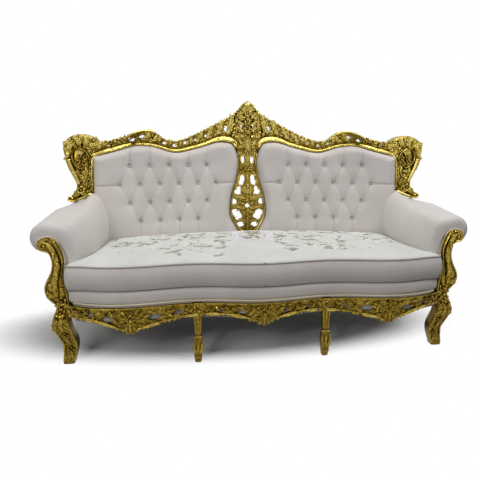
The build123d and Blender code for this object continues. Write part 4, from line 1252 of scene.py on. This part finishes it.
for side in SIDES:
    bm = bmesh.new()
    band(bm, fair(EAR_INNER, 60), half_round(1, 0.55, 0.2, sides=12), np.linspace(0.020, 0.009, 60), 0.001)
    outer_band = beside(ear_line[48:74], -0.013)
    band(bm, outer_band, half_round(0.025, 0.014, vein=0.2), np.linspace(1, 0.75, 26), 0.003)
    band(bm, fair(EAR_BAND, 24), half_round(0.015, 0.014), np.linspace(1, 0.7, 24), 0.003)
    scroll(bm, fair(EAR_FOOT_SCROLL, 50), 0.020, 0.017, 0.002, 0.45, 40)
    rosette(bm, (0.934, 0.396), 0.022, 0.018, 6, 0.004)
    smooth = len(bm.verts)
    hollow = [(*HOLLOW, *HOLLOW_SIZE)]
    fill = []
    for height in np.arange(0.390, 0.676, EAR_PITCH):
        start = 0.884 if height < 0.585 else 0.852
        fill += [(x, height) for x in np.arange(start, height_on(ear_side, height) - 0.020, EAR_PITCH)]
    foliage(bm, fill, hollow, EAR_LEAF, lambda x, z: x < height_on(ear_side, z) - 0.008)
    for root, heading, reach, curl, broad in EAR_LOBES:
        sprig(bm, root, heading, reach, curl, broad * 0.7, 0.016, 0.003, lobes=4)
    tips(bm, beside(ear_line[:EAR_BROW], -0.005), 0.022, 0.015, 0.011, 1.0, 0.012)
    turn = np.radians(np.linspace(250, -70, 60))
    ring = np.column_stack([HOLLOW_SIZE[0] * np.cos(turn), HOLLOW_SIZE[1] * np.sin(turn)])
    tilt = Matrix.Rotation(-HOLLOW_TILT, 2)
    scroll(bm, ring @ np.array(tilt) + HOLLOW, 0.010, 0.016, 0.002, 0.2, 60)
    for spot in EAR_FLOWERS:
        rosette(bm, spot, 0.012, 0.011, 5, 0.001)
    for heading, reach in ((100, 0.044), (70, 0.040), (130, 0.036)):
        sprig(bm, (0.940, 0.584), heading, reach, 30, 0.014, 0.010, 0.001)
    scroll(bm, beside(ear_line[46:60], -0.004), 0.009, 0.015, 0.004, 0.2, 20)
    for spot in ((0.968, 0.652), (0.905, 0.648), (0.936, 0.660), (0.988, 0.612), (0.872, 0.636)):
        rosette(bm, spot, 0.013, 0.014, 5, 0.004)
    rosette(bm, (0.896, 0.400), 0.016, 0.015, 5, 0.004)
    rosette(bm, (0.893, 0.440), 0.012, 0.013, 5, 0.003)
    for heading, reach in ((20, 0.034), (-20, 0.040), (200, 0.034)):
        sprig(bm, (0.938, 0.378), heading, reach, -20, 0.015, 0.012, 0.004)
    rosette(bm, (0.960, 0.354), 0.011, 0.013, 5, 0.008)
    carve(bm, on_layer(CARVING_PROUD), "ear", side, None, trim_ear, 0.46, smooth)

# Splat
# A pear-shaped gilt rim between the panels, with a pierced spray inside it: leaves round openings, a band of
# small flowers across the neck and a flower with an eye in the belly. Tenoned to the sill and the cartouche.
SPLAT_PROUD = -0.005
SPLAT_RIM = 0.015
SPLAT_FOOT, SPLAT_HEAD = 0.100, 0.606
SPLAT_OPENINGS = [(0.028, 0.548, 0.010, 0.025), (0.031, 0.430, 0.014, 0.026), (0.038, 0.408, 0.014, 0.018),
                  (0.060, 0.346, 0.022, 0.021), (0.052, 0.370, 0.012, 0.022), (0.082, 0.290, 0.015, 0.023),
                  (0.076, 0.226, 0.029, 0.020), (0.058, 0.202, 0.024, 0.024), (0.044, 0.152, 0.024, 0.016)]
SPLAT_EYE = (0, 0.268, 0.015, 0.014)
SPLAT_ARMS = (0.256, 0.318)
SPLAT_FLOWERS = [(-0.036, 0.484), (-0.013, 0.476), (0.013, 0.476), (0.036, 0.484), (-0.024, 0.498),
                 (0.024, 0.498), (0, 0.496)]
SPLAT_THICK = 0.020
SPLAT_PITCH, SPLAT_LEAF = 0.017, 0.022

bm = bmesh.new()
rim = panel_edge[4:shoulder - 4]
wide = np.interp(rim[:, 1], [0.05, 0.15, 0.30, 0.42, 0.56], [0.014, 0.016, 0.015, 0.012, 0.010])
for aim in (-1, 1):
    line = (rim + normals_of(rim) * (wide[:, None] / 2 + 0.001)) * (aim, 1)
    band(bm, line, half_round(1, 0.75, 0.2, sides=12), wide, 0.002)
smooth = len(bm.verts)
for aim in (-1, 1):
    foot = fair([(0.056 * aim, 0.132), (0.034 * aim, 0.116), (0.008 * aim, 0.112)], 20)
    moulding(bm, foot, 0.014, 0.010, base=0.001)
carve(bm, on_back, "splat_rim", ground_shade=0.36, smooth=smooth)
bm = bmesh.new()
openings = [SPLAT_EYE] + [(x * aim, height, a, b) for x, height, a, b in SPLAT_OPENINGS for aim in (-1, 1)]
height = np.linspace(SPLAT_FOOT, SPLAT_HEAD, 130)
inside = height_on(panel_edge[:shoulder, ::-1], height) - SPLAT_RIM + 0.003
window = np.column_stack([inside, height])
plate(bm, window * (-1, 1), window, 50, openings, SPLAT_THICK)
fill = []
for x, z in window[::4]:
    fill += [(across * aim, z) for across in np.arange(0.004, x - 0.012, SPLAT_PITCH) for aim in (-1, 1)]
foliage(bm, fill, openings, SPLAT_LEAF, lambda x, z: abs(x) < np.interp(z, height, inside) - 0.008)
rim_leaves(bm, openings)
moulding(bm, [(0, 0.100), (0, 0.200)], 0.020, 0.012, 30)
for turn in np.arange(6) * 60 + 30:
    root = stroke((0, 0.268), turn, 0.014, 0)[-1]
    leaf(bm, stroke(root, turn, 0.026, 15), 0.022, 0.012, 0.003, widest=1.1, full=0.55, vein=0.45, lift=0.003)
for spot in SPLAT_FLOWERS:
    rosette(bm, spot, 0.013, 0.012, 5, 0.003)
for aim in (-1, 1):
    for height in SPLAT_ARMS:
        sprig(bm, (0.016 * aim, height), 90 - 84 * aim, 0.084, 10 * aim, 0.018, 0.012, 0.002)
    for heading, reach in ((62, 0.050), (38, 0.044)):
        sprig(bm, (0.004 * aim, 0.342), 90 - (90 - heading) * aim, reach, 30 * aim, 0.020, 0.012, 0.002)
    sprig(bm, (0.006 * aim, 0.172), 90 - 66 * aim, 0.056, -40 * aim, 0.014, 0.011, 0.002)
    sprig(bm, (0.006 * aim, 0.236), 90 - 110 * aim, 0.036, 30 * aim, 0.016, 0.012, 0.002)
leaf(bm, stroke((0, 0.330), 90, 0.070, 0), 0.026, 0.014, 0.004, lobes=4, rows=16, lift=0.003)
leaf(bm, stroke((0, 0.246), 270, 0.046, 0), 0.026, 0.013, 0.004, lobes=3, rows=14, lift=0.003)
leaf(bm, stroke((0, 0.460), 270, 0.050, 0), 0.014, 0.012, 0.004, lift=0.003)
for fan in (-24, 24, 0):
    leaf(bm, stroke((0, 0.540), 90 - fan, 0.060, 0), 0.018, 0.012, 0.004, lobes=3, lift=0.004, rows=14)
carve(bm, on_layer(SPLAT_PROUD), "splat_spray", block=False)

# Arm posts
# S-shaped hardwood scrolls that face the arms, carved and gilt: a broad smooth ridge that winds to a volute
# under the roll, beads along both edges, and leaves and a flower at the foot. Each stands on a corner leg.
POST_FACE_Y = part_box("arm_post_right")[0].y
POST_OUTER = [(0.950, 0), (0.984, 0.039), (0.992, 0.069), (0.962, 0.149), (0.953, 0.187), (0.972, 0.245),
              (1.000, 0.252), (1.012, 0.284), (0.965, 0.310), (0.932, 0.298)]
POST_INNER = [(0.884, 0), (0.890, 0.044), (0.906, 0.144), (0.902, 0.214), (0.932, 0.298)]
POST_RIDGE = [(0.930, 0.060), (0.944, 0.090), (0.936, 0.140), (0.929, 0.190), (0.938, 0.240), (0.962, 0.281),
              (0.988, 0.290), (1.000, 0.276), (0.992, 0.262), (0.980, 0.266), (0.980, 0.276)]
RIDGE_SWELL = [(0, 0.4), (0.08, 1.0), (0.35, 0.95), (0.62, 0.85), (0.75, 0.6), (1, 0.3)]
POST_SPRIGS = [((0.934, 0.036), 78, 0.062), ((0.944, 0.036), 45, 0.048), ((0.916, 0.036), 104, 0.046),
               ((0.952, 0.040), 12, 0.030), ((0.962, 0.062), 100, 0.042)]      # root, heading, length


def on_post(points):
    """Relief on the front of the right arm post: (x, height over the rail, out)."""
    return np.column_stack([points[:, 0], POST_FACE_Y - points[:, 2], RAIL_TOP + points[:, 1]])


post_outer, post_inner = fair(POST_OUTER, 90), fair(POST_INNER, 60)
for side in SIDES:
    bm = bmesh.new()
    moulding(bm, beside(post_outer[:84], 0.006), 0.010, 0.009)
    moulding(bm, beside(post_inner, -0.006), 0.010, 0.009)
    swell = height_on(RIDGE_SWELL, np.linspace(0, 1, 60))
    band(bm, fair(POST_RIDGE, 60), half_round(0.032, 0.017, vein=0.15), swell)
    bead(bm, POST_RIDGE[-1], 0.007, 0.018)
    rosette(bm, (0.918, 0.016), 0.022, 0.016, 6, 0.003)
    for spot, heading, reach in POST_SPRIGS:
        sprig(bm, spot, heading, reach, -34, 0.018, 0.014, 0.004)
    for spot, heading in (((0.932, 0.150), 262), ((0.926, 0.200), 250), ((0.940, 0.246), 262)):
        sprig(bm, spot, heading, 0.034, 30, 0.013, 0.008, 0.012, lobes=2)
    carve(bm, on_post, "arm_post", side, ground_shade=0.42)

# Arm pads
# Rolled arms: wadding over a rail, under the same off-white cloth, drawn over the roll and round its front.
# The roll leans in where it meets the back, and a twisted cord hides the tacks round the post.
ARM_SECTIONS = np.array([
    (-0.303, 0.862, 0.985, 0.302, 0.070, 0.930), (-0.110, 0.812, 0.977, 0.322, 0.069, 0.925),
    (0.190, 0.800, 0.960, 0.356, 0.068, 0.920),
])      # y, inner x, the roll's x, height and radius, outer x
ARM_NOSE, ARM_END = 0.030, 0.170
ARM_ROWS, ARM_RING = 36, 96
ARM_LEAN = [(0.877, 0.031), (0.915, -0.003), (0.953, -0.026), (0.992, -0.031)]     # x, rise at the rear
ARM_CORE_X = 0.900
ROLL_TURN = (96, -55)       # where the roll starts and ends, in degrees
CORD_BACK = 0.007


def arm_slice(y):
    """One slice through the right arm, as an even ring of (x, height over the rail)."""
    inner, roll_x, roll_z, radius, outer = sampled(y, ARM_SECTIONS[:, 0], ARM_SECTIONS[:, 1:])[0]
    over = np.radians(np.linspace(*ROLL_TURN, 26))
    cap = np.column_stack([roll_x + radius * np.cos(over), roll_z + radius * np.sin(over)])
    rise = fair([(inner + 0.002, 0.0), (inner, 0.110), (inner + 0.002, roll_z - radius * 0.5),
                 (inner + (roll_x - inner) * 0.28, roll_z + radius * 0.62), cap[0]], 50)
    line = np.concatenate([rise[:-1], cap, [(outer + 0.004, roll_z - radius * 1.28), (outer, roll_z * 0.4),
                                            (outer, 0.0)]])
    run = arc(line)
    ring = sampled(np.linspace(0, run[-1], ARM_RING), run, line)
    lean = np.clip((y + 0.06) / 0.21, 0, 1) * np.clip((ring[:, 1] - 0.16) / 0.16, 0, 1)
    ring[:, 1] += lean * height_on(ARM_LEAN, ring[:, 0])
    return ring


def up_to_post(y, height):
    """Carries the rear end of an arm's side on to the sloping back post."""
    flat = np.zeros(len(height))
    spots = np.column_stack([flat + ARM_CORE_X, RAIL_TOP + height - DECK_TOP, flat])
    room = np.clip(on_back(spots)[:, 1] - ARM_END, 0, 0.08) * np.clip((0.22 - height) / 0.05, 0, 1)
    return y + room * np.clip((y - 0.10) / (ARM_END - 0.10), 0, 1)


for side in SIDES:
    rings = []
    front = arm_slice(ARM_SECTIONS[0][0])
    roll = ARM_SECTIONS[0][2:4]
    for share in np.linspace(1, 0, 9)[:-1]:
        keep = 1 - 0.55 * (1 - math.cos(share * math.pi / 2))
        hold = np.clip((front[:, 1] - 0.12) / 0.12, 0, 1)[:, None]
        spine = np.column_stack([np.full(len(front), ARM_CORE_X), front[:, 1]]) * (1 - hold) + roll * hold
        shrunk = spine + (front - spine) * keep
        y = ARM_SECTIONS[0][0] - ARM_NOSE * math.sin(share * math.pi / 2)
        rings.append((y, shrunk))
    rings += [(y, arm_slice(y)) for y in np.linspace(ARM_SECTIONS[0][0], ARM_END, ARM_ROWS)]
    sign = -1 if side == "left" else 1
    points = [np.column_stack([ring[:, 0] * sign, up_to_post(y, ring[:, 1]), RAIL_TOP + ring[:, 1]])
              for y, ring in rings]
    arm = new_piece(f"arm_upholstery_{side}", stacked(points), [cloth], sharp=75)
    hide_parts(f"arm_pad_{side}")
    bm = bmesh.new()
    round_post = np.concatenate([beside(post_inner[6:-2], 0.004), beside(post_outer[::-1][2:24], 0.004)])
    spine = level(round_post * (sign, 1) + (0, RAIL_TOP), POST_FACE_Y + CORD_BACK)[:, [0, 2, 1]]
    twisted_cord(bm, spine, 0.005, 0.012)
    bmesh.ops.recalc_face_normals(bm, faces=bm.faces)
    new_piece(f"arm_cord_{side}", bm, [gimp_finish])

# Loose cushion
# One bench cushion: a foam core in wadding, with a brocade top, plain boxing and a plain base, piped along
# both edges. It lies loose on the deck, so it rides on its own body.
CUSHION_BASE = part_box("cushion_welt_lower")[0].z - 0.0045
CUSHION_EDGE = CUSHION_BASE + 0.122
CUSHION_HEM, CUSHION_INSET, CUSHION_BELLY = 0.034, 0.010, 0.017
CUSHION_CROWN = 0.022
CUSHION_PULL = (0.024, -0.016)
WELT_RADIUS = 0.0040
brocade = woven("brocade_cloth", (0.60, 0.61, 0.575), (0.70, 0.71, 0.68), 3600, 0.0004, 0.75, 0.2)


def cushion_outline(inset):
    """The cushion's plan: corners a little eased, and its two front corners drawn out towards the posts."""
    return drawn_out(softened(seat_outline(inset, PAD_DEPTH), 3), CUSHION_PULL)


cushion_rings = [level(cushion_outline(CUSHION_HEM), CUSHION_BASE)]
for share in np.linspace(0, 1, 15):
    belly = CUSHION_BELLY * (1 - (2 * share - 1) ** 2) ** 0.8
    height = CUSHION_BASE + 0.002 + share * (CUSHION_EDGE - CUSHION_BASE - 0.004)
    cushion_rings.append(level(cushion_outline(CUSHION_INSET - belly), height))
brim = cushion_outline(CUSHION_INSET)
middle = np.array([0, -0.06])
for share in np.concatenate([np.linspace(0.01, 0.2, 14), np.linspace(0.23, 0.97, 26)]):
    crown = CUSHION_CROWN * (1 - (1 - min(1.0, share / 0.35)) ** 2.6)
    cushion_rings.append(level(middle + (brim - middle) * (1 - share), CUSHION_EDGE + crown))
bm = stacked(cushion_rings)
for face in bm.faces:
    face.material_index = 1 if face.calc_center_median().z > CUSHION_EDGE - 0.0005 else 0
cushion_top = BVHTree.FromBMesh(bm)
cushion = new_piece("seat_cushion_cover", bm, [cloth, brocade], "seat_cushion", sharp=70)
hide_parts("cushion_cover", "cushion_core")
# Painted shade: the piping is coloured darker than the cover, for the shadow line along each welt.
piping = woven("shaded_piping_cloth", (0.36, 0.335, 0.315), (0.42, 0.395, 0.37), 4200, 0.0004, 0.92)
for name, node, height in (("upper", "cushion_welt_upper", CUSHION_EDGE - 0.007),
                           ("lower", "cushion_welt_lower", CUSHION_BASE + 0.009)):
    bm = bmesh.new()
    loop = cushion_outline(0.0045)
    loop = np.concatenate([loop, loop[:2]])
    spine = level(loop, height)
    run = np.gradient(spine, axis=0)
    across = np.cross(run / np.linalg.norm(run, axis=1, keepdims=True), (0, 0, 1.0))
    tube(bm, spine, WELT_RADIUS, across, np.tile((0, 0, 1.0), (len(spine), 1)), 10)
    bmesh.ops.recalc_face_normals(bm, faces=bm.faces)
    welt = new_piece(f"cushion_piping_{name}", bm, [piping], "seat_cushion")
    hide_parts(node)

# Embroidery
# Small flowers and leaves worked on the brocade in coloured threads, scattered over each side of the seat,
# with a pale scalloped medallion round a posy in the middle of the back edge.
THREADS = {"sage": (0.24, 0.25, 0.20), "gold": (0.36, 0.33, 0.24), "russet": (0.42, 0.27, 0.16),
           "ivory": (0.88, 0.88, 0.95)}
STITCH = 0.0014
SPRAY_X, SPRAY_Y = np.linspace(0.15, 0.72, 9), np.linspace(-0.31, 0.11, 8)
BARE_CORNER = (0.46, -0.12)     # no sprays further out and further forward than this
MEDALLION_SIZE, SCALLOPS = (0.105, 0.165), 16
MEDALLION = (0.0, brim[np.abs(brim[:, 0]) < 0.1][:, 1].max() - MEDALLION_SIZE[1] - 0.020)


def on_seat(points):
    """Stitches laid on the cushion's top: (x, y, out)."""
    top = [cushion_top.ray_cast(Vector((x, y, 2.0)), Vector((0, 0, -1)))[0] for x, y in points[:, :2]]
    height = np.array([spot.z if spot else CUSHION_EDGE for spot in top])
    return np.column_stack([points[:, :2], height + points[:, 2]])


def stitched_flower(threads, spot, size, petal, heart):
    """Five worked petals and a heart."""
    start = chance.uniform(0, 72)
    for turn in start + np.arange(5) * 72:
        line = stroke(stroke(spot, turn, size * 0.25, 0)[-1], turn, size * 0.75, 20)
        leaf(threads[petal], line, size * 0.55, STITCH, vein=0.3, rows=5)
    bead(threads[heart], spot, size * 0.28, STITCH * 1.3)


def stitched_leaf(threads, spot, heading, long, thread):
    """One satin-stitch leaf."""
    line = stroke(spot, heading, long, chance.uniform(-40, 40), count=8)
    leaf(threads[thread], line, long * 0.36, STITCH, rows=6)


def stitched_spray(threads, spot):
    """A flower on a short stem, with leaves round it."""
    heading = chance.uniform(0, 360)
    line = stroke(spot, heading, chance.uniform(0.035, 0.06), chance.choice((-70, 70)), count=20)
    band(threads["sage"], line, half_round(0.0022, STITCH, 0.001, sides=6), np.ones(20))
    stitched_flower(threads, line[-1], chance.uniform(0.010, 0.018), chance.choice(("sage", "gold")), "gold")
    for at in (2, 6, 10, 14, 17):
        aim = heading + chance.choice((-60, 60))
        stitched_leaf(threads, line[at], aim, chance.uniform(0.012, 0.022), "sage")


threads = {thread: bmesh.new() for thread in THREADS}
for aim in (-1, 1):
    for x in SPRAY_X:
        for y in SPRAY_Y:
            spot = np.array([x, y]) + chance.uniform(-0.035, 0.035, 2)
            off_edge = spot[1] > height_on(FRONT_LINE, spot[0]) + 0.095
            worked = spot[0] <= BARE_CORNER[0] or spot[1] >= BARE_CORNER[1]
            if off_edge and chance.uniform() < 0.72 and worked:
                stitched_spray(threads, spot * (aim, 1))
    for _ in range(90):
        spot = (chance.uniform(0.12, 0.72) * aim, chance.uniform(-0.27, 0.12))
        stitched_leaf(threads, spot, chance.uniform(0, 360), chance.uniform(0.010, 0.020),
                      chance.choice(("sage", "gold")))
turn = np.radians(np.linspace(0, 360, 241))
lobed = 1 + 0.07 * np.abs(np.sin(turn * SCALLOPS / 2))
for share in (1.0, 0.86, 0.72):
    ring = np.column_stack([np.cos(turn), np.sin(turn)]) * MEDALLION_SIZE * (lobed * share)[:, None]
    band(threads["ivory"], ring + MEDALLION, half_round(0.019, STITCH, 0.001, sides=6), np.ones(160))
for fan in np.arange(14):
    spot = np.array(MEDALLION) + chance.uniform(-1, 1, 2) * (0.056, 0.085)
    stitched_flower(threads, spot, 0.020, ("gold", "russet", "sage")[fan % 3], "gold")
    stitched_leaf(threads, spot, chance.uniform(0, 360), 0.034, "sage")
for thread, bm in threads.items():
    lay(bm, on_seat(points_of(bm)))
    tint = np.array(THREADS[thread])
    dark, light = tint * 0.88, np.minimum(tint * 1.1, 0.94)
    yarn = woven(f"{thread}_thread", tuple(dark), tuple(light), 2600, 0.0003, 0.55)
    new_piece(f"embroidery_{thread}", bm, [yarn], "seat_cushion")

# Studio
# A plain pale floor and sky, soft light from above and both sides, and the camera of the photograph.
CAMERA_AT = Vector((-0.286, -2.465, 1.085))
CAMERA_YAW, CAMERA_PITCH, CAMERA_ROLL = 0.125, -0.158, 0.007
CAMERA_LENS, SENSOR = 34.8, 36.0
CAMERA_SHIFT = (-0.038, -0.074)
FLOOR_SPAN = 8.0
FLOOR_FADE = (0.33, 0.51)
FLOOR_SPREAD, FLOOR_MIDDLE, FLOOR_DRIFT = 0.360, 0.06, 0.060

bm = bmesh.new()
bmesh.ops.create_grid(bm, x_segments=1, y_segments=1, size=FLOOR_SPAN / 2)
floor = in_scene("floor", mesh_of("floor", bm))
pale, tree, shader = new_finish("pale_floor", 0.9)
paint(tree, shader, surface_noise(tree, 2), [(0, (0.77, 0.77, 0.77)), (1, (0.79, 0.79, 0.79))])
shader.inputs["Specular IOR Level"].default_value = 0.1
place = add(tree, "ShaderNodeTexCoord").outputs["Object"]
place = add(tree, "ShaderNodeMapping", {"Vector": place, "Scale": (FLOOR_SPREAD, 1, 1),
                                        "Location": (FLOOR_DRIFT, -FLOOR_MIDDLE, 0)}).outputs["Vector"]
far = add(tree, "ShaderNodeVectorMath", {0: place}, operation="LENGTH").outputs["Value"]
fade = add(tree, "ShaderNodeMapRange", {"Value": far, "From Min": FLOOR_FADE[0], "From Max": FLOOR_FADE[1],
                                        "To Min": 1.0, "To Max": 0.0}, interpolation_type="SMOOTHSTEP")
tree.links.new(fade.outputs["Result"], shader.inputs["Alpha"])
floor.data.materials.append(pale)
floor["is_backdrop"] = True

world = bpy.data.worlds.new("studio")
bpy.context.scene.world = world
world.use_nodes = True
tree = world.node_tree
sky = tree.nodes["Background"]
seen = add(tree, "ShaderNodeLightPath")
direct = maths(tree, "ADD", seen.outputs["Is Camera Ray"], seen.outputs["Is Glossy Ray"])
direct = maths(tree, "ADD", direct, seen.outputs["Is Transmission Ray"], use_clamp=True)
tree.links.new(between(tree, direct, 0.13, 1.0), sky.inputs["Strength"])
sky.inputs["Color"].default_value = (1, 1, 1, 1)

for name, spot, aim, size, power in (
    ("key", (2.2, -0.9, 3.6), (0, 0, 0.6), 2.2, 36),
    ("fill", (-2.0, -2.6, 2.0), (-0.5, -0.4, 0.40), 1.4, 32),
    ("top", (0, 0.0, 4.0), (0, 0, 0.5), 2.6, 71),
    ("spark left", (-1.6, -3.4, 2.2), (-0.3, 0, 0.6), 0.25, 9),
    ("spark right", (1.9, -2.0, 3.2), (0.3, 0, 0.6), 0.25, 10),
):
    lamp = bpy.data.lights.new(name, "AREA")
    lamp.size = size
    lamp.energy = power
    holder = in_scene(name, lamp)
    holder.location = spot
    holder.rotation_euler = (Vector(aim) - Vector(spot)).to_track_quat("-Z", "Y").to_euler()

view = bpy.data.cameras.new("camera")
view.lens, view.sensor_width = CAMERA_LENS, SENSOR
view.shift_x, view.shift_y = CAMERA_SHIFT
camera = in_scene("camera", view)
ahead = Vector((math.sin(CAMERA_YAW) * math.cos(CAMERA_PITCH), math.cos(CAMERA_YAW) * math.cos(CAMERA_PITCH),
                math.sin(CAMERA_PITCH)))
right = Vector((math.cos(CAMERA_YAW), -math.sin(CAMERA_YAW), 0))
up = right.cross(ahead)
tilt_right = right * math.cos(CAMERA_ROLL) + up * math.sin(CAMERA_ROLL)
tilt_up = up * math.cos(CAMERA_ROLL) - right * math.sin(CAMERA_ROLL)
turned = Matrix((tilt_right, tilt_up, -ahead)).transposed().to_4x4()
camera.matrix_world = Matrix.Translation(CAMERA_AT) @ turned
bpy.context.scene.camera = camera
bpy.context.scene.view_settings.view_transform = "Standard"

low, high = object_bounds()
